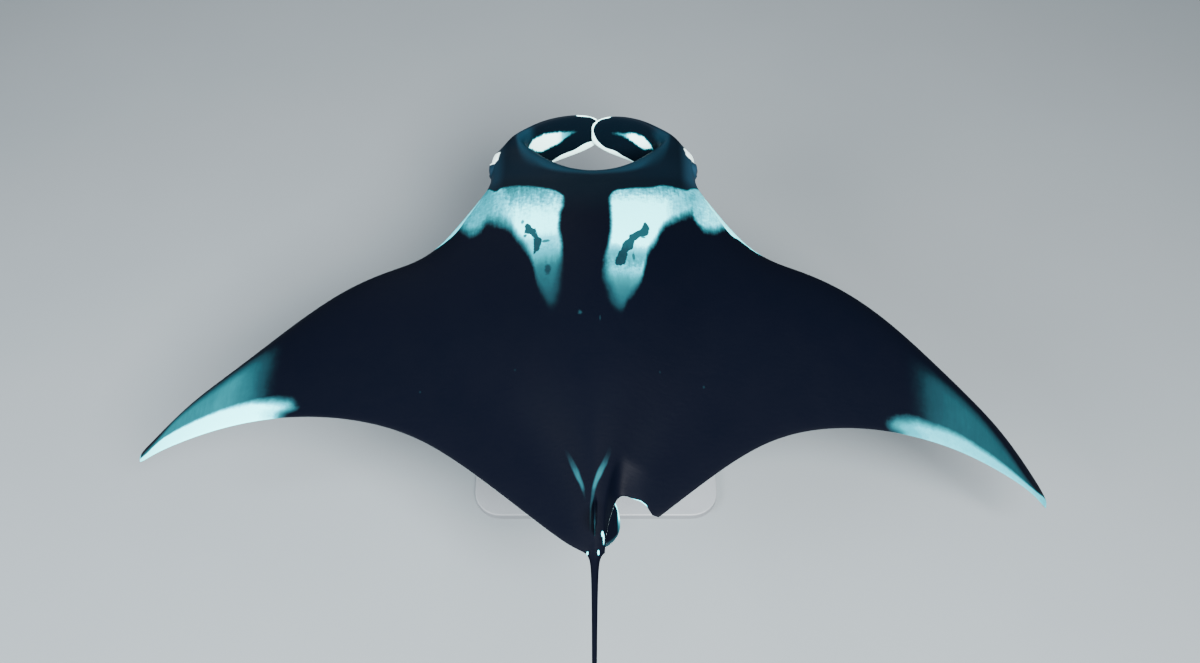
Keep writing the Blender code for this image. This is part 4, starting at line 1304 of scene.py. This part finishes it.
def add_fin_colours(p, colour, rim_sheen):
    """The head fins: dark inside, with a white flash and white edging; pale low down on the outside."""
    edging, flash, facing = (p.add("Attribute", attribute_name=name).outputs["Fac"] for name in FIN_MARKS)
    edging = p.step(p.stir(edging, (p.fleck, 0.003)), -0.0008, 0.0008)
    flash = p.step(p.stir(flash, (p.fleck, 0.006), (p.streak, 0.016)), -0.006, 0.009)
    tone = p.most(edging, p.times(flash, p.curve(p.u, *FLASH_TONE)))
    # The fins' dark is the head's black with its painted sheen.
    fin = p.ramp(tone, (0.0, HEAD_SHEEN_BLACK), *SKIN_TONES[:-1], (1.0, FIN_WHITE))
    # Painted sheen: the teal of the mouth's rim runs on to the roots of the head fins.
    fin = p.blend(p.times(rim_sheen, p.step(p.u, 0.200, 0.240)), fin, RIM_SHEEN_TEAL)
    on_fin = p.times(p.step(p.s, -0.09, -0.13), p.step(p.u, 0.345, 0.30), p.step(facing, -0.05, 0.15))
    colour = p.blend(on_fin, colour, fin)
    below_dark = p.stir(p.less(p.curve(p.u, *FIN_FOOT), p.z), (p.waver, 0.018))
    outside = p.times(p.step(p.s, -0.14, -0.17), p.step(facing, 0.12, -0.05))
    return p.blend(p.times(outside, p.step(below_dark, -0.010, 0.010)), colour, CREAM)


def skin_material():
    p = SkinPaint()
    rim_sheen = mouth_rim_sheen(p)
    colour = p.blend(underside(p), back_colour(p, rim_sheen), belly_colour(p))
    colour = add_fin_colours(p, colour, rim_sheen)
    # Painted shade: inside the mouth it darkens.
    gape = p.times(p.step(p.u, 0.235, 0.195), p.step(p.s, -0.01, 0.05), p.step(p.z, 0.066, 0.050),
                   p.step(p.z, -0.078, -0.062), p.step(p.s, 0.150, 0.140))
    colour = p.blend(p.times(gape, 0.92), colour, THROAT_SHADE)

    grain = p.noise(p.object_place(), 700.0, 3.0, 0.6)
    normal = p.bump(grain, 0.0004, 0.8, p.bump(p.folds, 0.0005))
    p.give(Base_Color=colour, Normal=normal, Roughness=p.range(p.sheen, -0.3, 0.3, 0.44, 0.58))
    return p.material


# ---- Eyes -----------------------------------------------------------------------------------------
IRIS_DARK = (0.0016, 0.0015, 0.0015, 1)
IRIS_BROWN = (0.0120, 0.0105, 0.0085, 1)
IRIS_RING = (0.040, 0.040, 0.036, 1)
OUTER_EYE = (0.010, 0.011, 0.013, 1)
PUPIL_BLACK = (0.001, 0.001, 0.0015, 1)
CORNEA_RISE = 0.012
BALL_DRAWN_IN = 0.03
BALL_SEGMENTS = 64
BALL_RINGS = 40


def eye_middle(side):
    centre, _ = eye_on(side)
    return posed(centre[None])[0]


def eye_material(name, side):
    """A dark eye: a crescent pupil in a brown-black iris with a pale ring, under a wet gloss."""
    p = Paint(name, 0.06, 0.4, Coat_Weight=0.6, Coat_Roughness=0.02)
    inputs = {0: p.object_place(), 1: tuple(eye_middle(side))}
    offset = p.add("VectorMath", inputs, operation="SUBTRACT").outputs[0]
    axis = Vector(eye_on(side)[1])
    up = (Vector((0, 0, 1)) - axis * axis.z).normalized()

    def along(direction):
        node = p.add("VectorMath", {0: offset, 1: tuple(direction)}, operation="DOT_PRODUCT")
        return p.times(node.outputs["Value"], 1 / EYE_RADIUS)

    a, b = along(up.cross(axis)), along(up)
    far = p.length(a, b)
    fibres = p.noise(p.vector(p.times(a, 9.0), p.times(b, 9.0), 0.0), 1.0, 4.0, 0.7)
    iris = p.blend(p.math("ADD", fibres, 0.5), IRIS_DARK, IRIS_BROWN)
    ring = p.times(p.step(far, 0.50, 0.56), p.step(far, 0.68, 0.60))
    iris = p.blend(p.times(ring, 0.40), iris, IRIS_RING)
    colour = p.blend(p.step(far, 0.66, 0.74), iris, OUTER_EYE)
    # A flap of the iris hangs into the pupil from above and leaves a crescent of it.
    flap = p.stir(p.math("ADD", b, 0.02), (p.times(a, a), -2.2))
    pupil = p.times(p.step(p.length(a, p.times(b, 1.5)), 0.36, 0.32), p.step(flap, 0.16, 0.11))
    colour = p.blend(pupil, colour, PUPIL_BLACK)
    p.give(Base_Color=colour, Roughness=p.range(fibres, -0.4, 0.4, 0.04, 0.09))
    return p.material


def build_eye(name, side):
    """An eyeball with a low clear bulge of its cornea, modelled in one closed form."""
    select_nothing()
    bpy.ops.mesh.primitive_uv_sphere_add(segments=BALL_SEGMENTS, ring_count=BALL_RINGS, radius=EYE_RADIUS,
                                         location=(0, 0, 0))
    eye = bpy.context.object
    eye.name = eye.data.name = f"eyeball_{name}"
    turn = Vector((0, 0, 1)).rotation_difference(Vector(eye_on(side)[1])).to_matrix()
    points = positions(eye.data)
    # The front bulges a little and the rest is drawn in, so that the ball sits in its socket.
    height = points[:, 2] / EYE_RADIUS
    bulge = CORNEA_RISE * ease(0.55, 0.95, height) - BALL_DRAWN_IN * ease(0.2, -0.4, height)
    points *= (1 + bulge)[:, None]
    place(eye.data, points @ np.array(turn).T + eye_middle(side))
    eye.data.shade_smooth()
    eye.data.materials.append(eye_material(f"eye_{name}", side))
    return eye


# ---- The stand ------------------------------------------------------------------------------------
STAND_GREYS = ((0.30, (0.095, 0.105, 0.115)), (0.70, (0.150, 0.162, 0.175)))
COLLAR_HEIGHT = 0.014
COLLAR_LIFT = 0.0002
COLLAR_SPREAD = 2.1  # the flange's radius, in radii of the rod
COLLAR_SHOULDER = 0.95  # how far in from the edge its neck begins, in radii of the rod
COLLAR_LIP = 0.04
COLLAR_NECK = 0.012
COLLAR_BEVEL = 0.002


def stand_material():
    """Powder-coated steel: a fine orange-peel grain and a faintly uneven tone."""
    p = Paint("stand_paint", 0.45, 0.4, Metallic=0.0)
    here = p.object_place()
    speck = p.noise(here, 420.0, 3.0, 0.65)
    broad = p.noise(here, 5.0, 3.0, 0.6)
    tone = p.stir(0.5, (speck, 0.35), (broad, 0.25))
    p.give(Base_Color=p.ramp(tone, *STAND_GREYS), Roughness=p.range(broad, -0.3, 0.3, 0.38, 0.52),
           Normal=p.bump(speck, 0.0005, 0.6))
    return p.material


def build_collar(name, rod, paint):
    """A turned flange that holds one rod on the base, with its edge rounded."""
    select_nothing()
    low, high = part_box(rod)
    middle = (low + high) / 2
    radius = (high.x - low.x) / 2
    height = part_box("stand_base")[1].z + COLLAR_HEIGHT / 2 + COLLAR_LIFT
    bpy.ops.mesh.primitive_cylinder_add(vertices=96, radius=radius * COLLAR_SPREAD, depth=COLLAR_HEIGHT,
                                        location=(middle.x, middle.y, height))
    collar = bpy.context.object
    collar.name = collar.data.name = name
    bpy.ops.object.mode_set(mode="EDIT")
    bpy.ops.mesh.select_mode(type="FACE")
    bpy.ops.mesh.select_all(action="DESELECT")
    edit = bmesh.from_edit_mesh(collar.data)
    for face in edit.faces:
        face.select_set(face.normal.z > 0.9)
    bmesh.update_edit_mesh(collar.data)
    bpy.ops.mesh.inset(thickness=radius * COLLAR_SHOULDER)
    bpy.ops.transform.translate(value=(0, 0, COLLAR_NECK))
    bpy.ops.mesh.inset(thickness=radius * COLLAR_LIP)
    bpy.ops.object.mode_set(mode="OBJECT")
    bevel = collar.modifiers.new("Rounded", "BEVEL")
    bevel.width = COLLAR_BEVEL
    bevel.segments = 3
    bevel.limit_method = "ANGLE"
    apply_modifiers(collar)
    bpy.ops.object.transform_apply(location=True, rotation=True, scale=True)
    bpy.ops.object.shade_smooth_by_angle(angle=math.radians(35))
    collar.data.materials.append(paint)
    return collar


# ---- Floor, light and camera ----------------------------------------------------------------------
FLOOR_TONES = ((0.104, 0.120, 0.130, 1), (0.114, 0.130, 0.140, 1))
FLOOR_SIZE = 40.0
# Each lamp: its place, what it points at, its size, power and colour.
LAMPS = {
    "key": ((-1.4, 3.4, 4.9), (0, 0.0, 0.8), 2.4, 2250, (1.0, 0.995, 0.98)),
    "fill": ((3.6, 2.4, 3.8), (0, 0.0, 0.8), 2.6, 900, (0.95, 0.98, 1.0)),
    "front": ((1.4, -4.2, 3.4), (0, -0.4, 0.8), 2.4, 90, (1.0, 1.0, 1.0)),
}
WORLD_COLOUR = (0.66, 0.75, 0.84, 1)
WORLD_STRENGTH = 0.58


def build_floor():
    select_nothing()
    bpy.ops.mesh.primitive_plane_add(size=FLOOR_SIZE, location=(0, 0, 0))
    floor = bpy.context.object
    floor.name = "floor"
    p = Paint("floor_pale", 0.85, 0.2)
    tone = p.math("ADD", p.noise(p.object_place(), 1.5, 3.0), 0.5)
    p.give(Base_Color=p.blend(tone, *FLOOR_TONES))
    floor.data.materials.append(p.material)
    floor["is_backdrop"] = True


def add_lights():
    for name, (stands_at, target, size, power, colour) in LAMPS.items():
        data = bpy.data.lights.new(name, "AREA")
        data.shape = "DISK"
        data.size = size
        data.energy = power
        data.color = colour
        lamp = new_object(name, data)
        lamp.location = stands_at
        lamp.rotation_euler = (Vector(target) - Vector(stands_at)).to_track_quat("-Z", "Y").to_euler()
    world = bpy.data.worlds.new("studio")
    bpy.context.scene.world = world
    world.use_nodes = True
    background = world.node_tree.nodes["Background"]
    background.inputs["Color"].default_value = WORLD_COLOUR
    background.inputs["Strength"].default_value = WORLD_STRENGTH


CAMERA_AIM = Vector((-0.0149, 0.097, BODY_HEIGHT))
CAMERA_DISTANCE = 3.7723
CAMERA_TILT = 0.9249  # radians above the horizon
CAMERA_LENS = 34.58


def add_camera():
    data = bpy.data.cameras.new("camera")
    data.lens = CAMERA_LENS
    data.sensor_width = 36.0
    data.clip_end = 100.0
    camera = new_object("camera", data)
    away = Vector((0, math.cos(CAMERA_TILT), math.sin(CAMERA_TILT)))
    camera.location = CAMERA_AIM + away * CAMERA_DISTANCE
    camera.rotation_euler = (-away).to_track_quat("-Z", "Y").to_euler()
    bpy.context.scene.camera = camera


# ---- Putting it together --------------------------------------------------------------------------
FLESH = ("head", "lower_jaw", "cephalic_fin_left", "cephalic_fin_right", "trunk", "pectoral_fin_left",
         "pectoral_fin_right", "pelvic_fin_left", "pelvic_fin_right", "dorsal_fin", "tail_base",
         "tail_middle", "tail_tip")
STAND = ("stand_base", "stand_rod_front", "stand_rod_rear")


def main():
    add_camera()
    add_lights()
    build_floor()

    skin = build_skin()
    skin.data.materials.append(skin_material())
    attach(skin, "root")
    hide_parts(*FLESH)

    for name, side in SIDES:
        eye = build_eye(name, side)
        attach(eye, "root")
        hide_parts(f"eye_{name}")

    paint = stand_material()
    for name in STAND:
        node = frame["nodes"][name]
        node.data.materials.clear()
        node.data.materials.append(paint)
    for rod in STAND[1:]:
        collar = build_collar(rod.replace("rod", "collar"), rod, paint)
        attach(collar, "root")

    boxes = {"cad": CAD_BOX, "visual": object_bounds()}
    {key: [list(corner) for corner in box] for key, box in boxes.items()}


main()
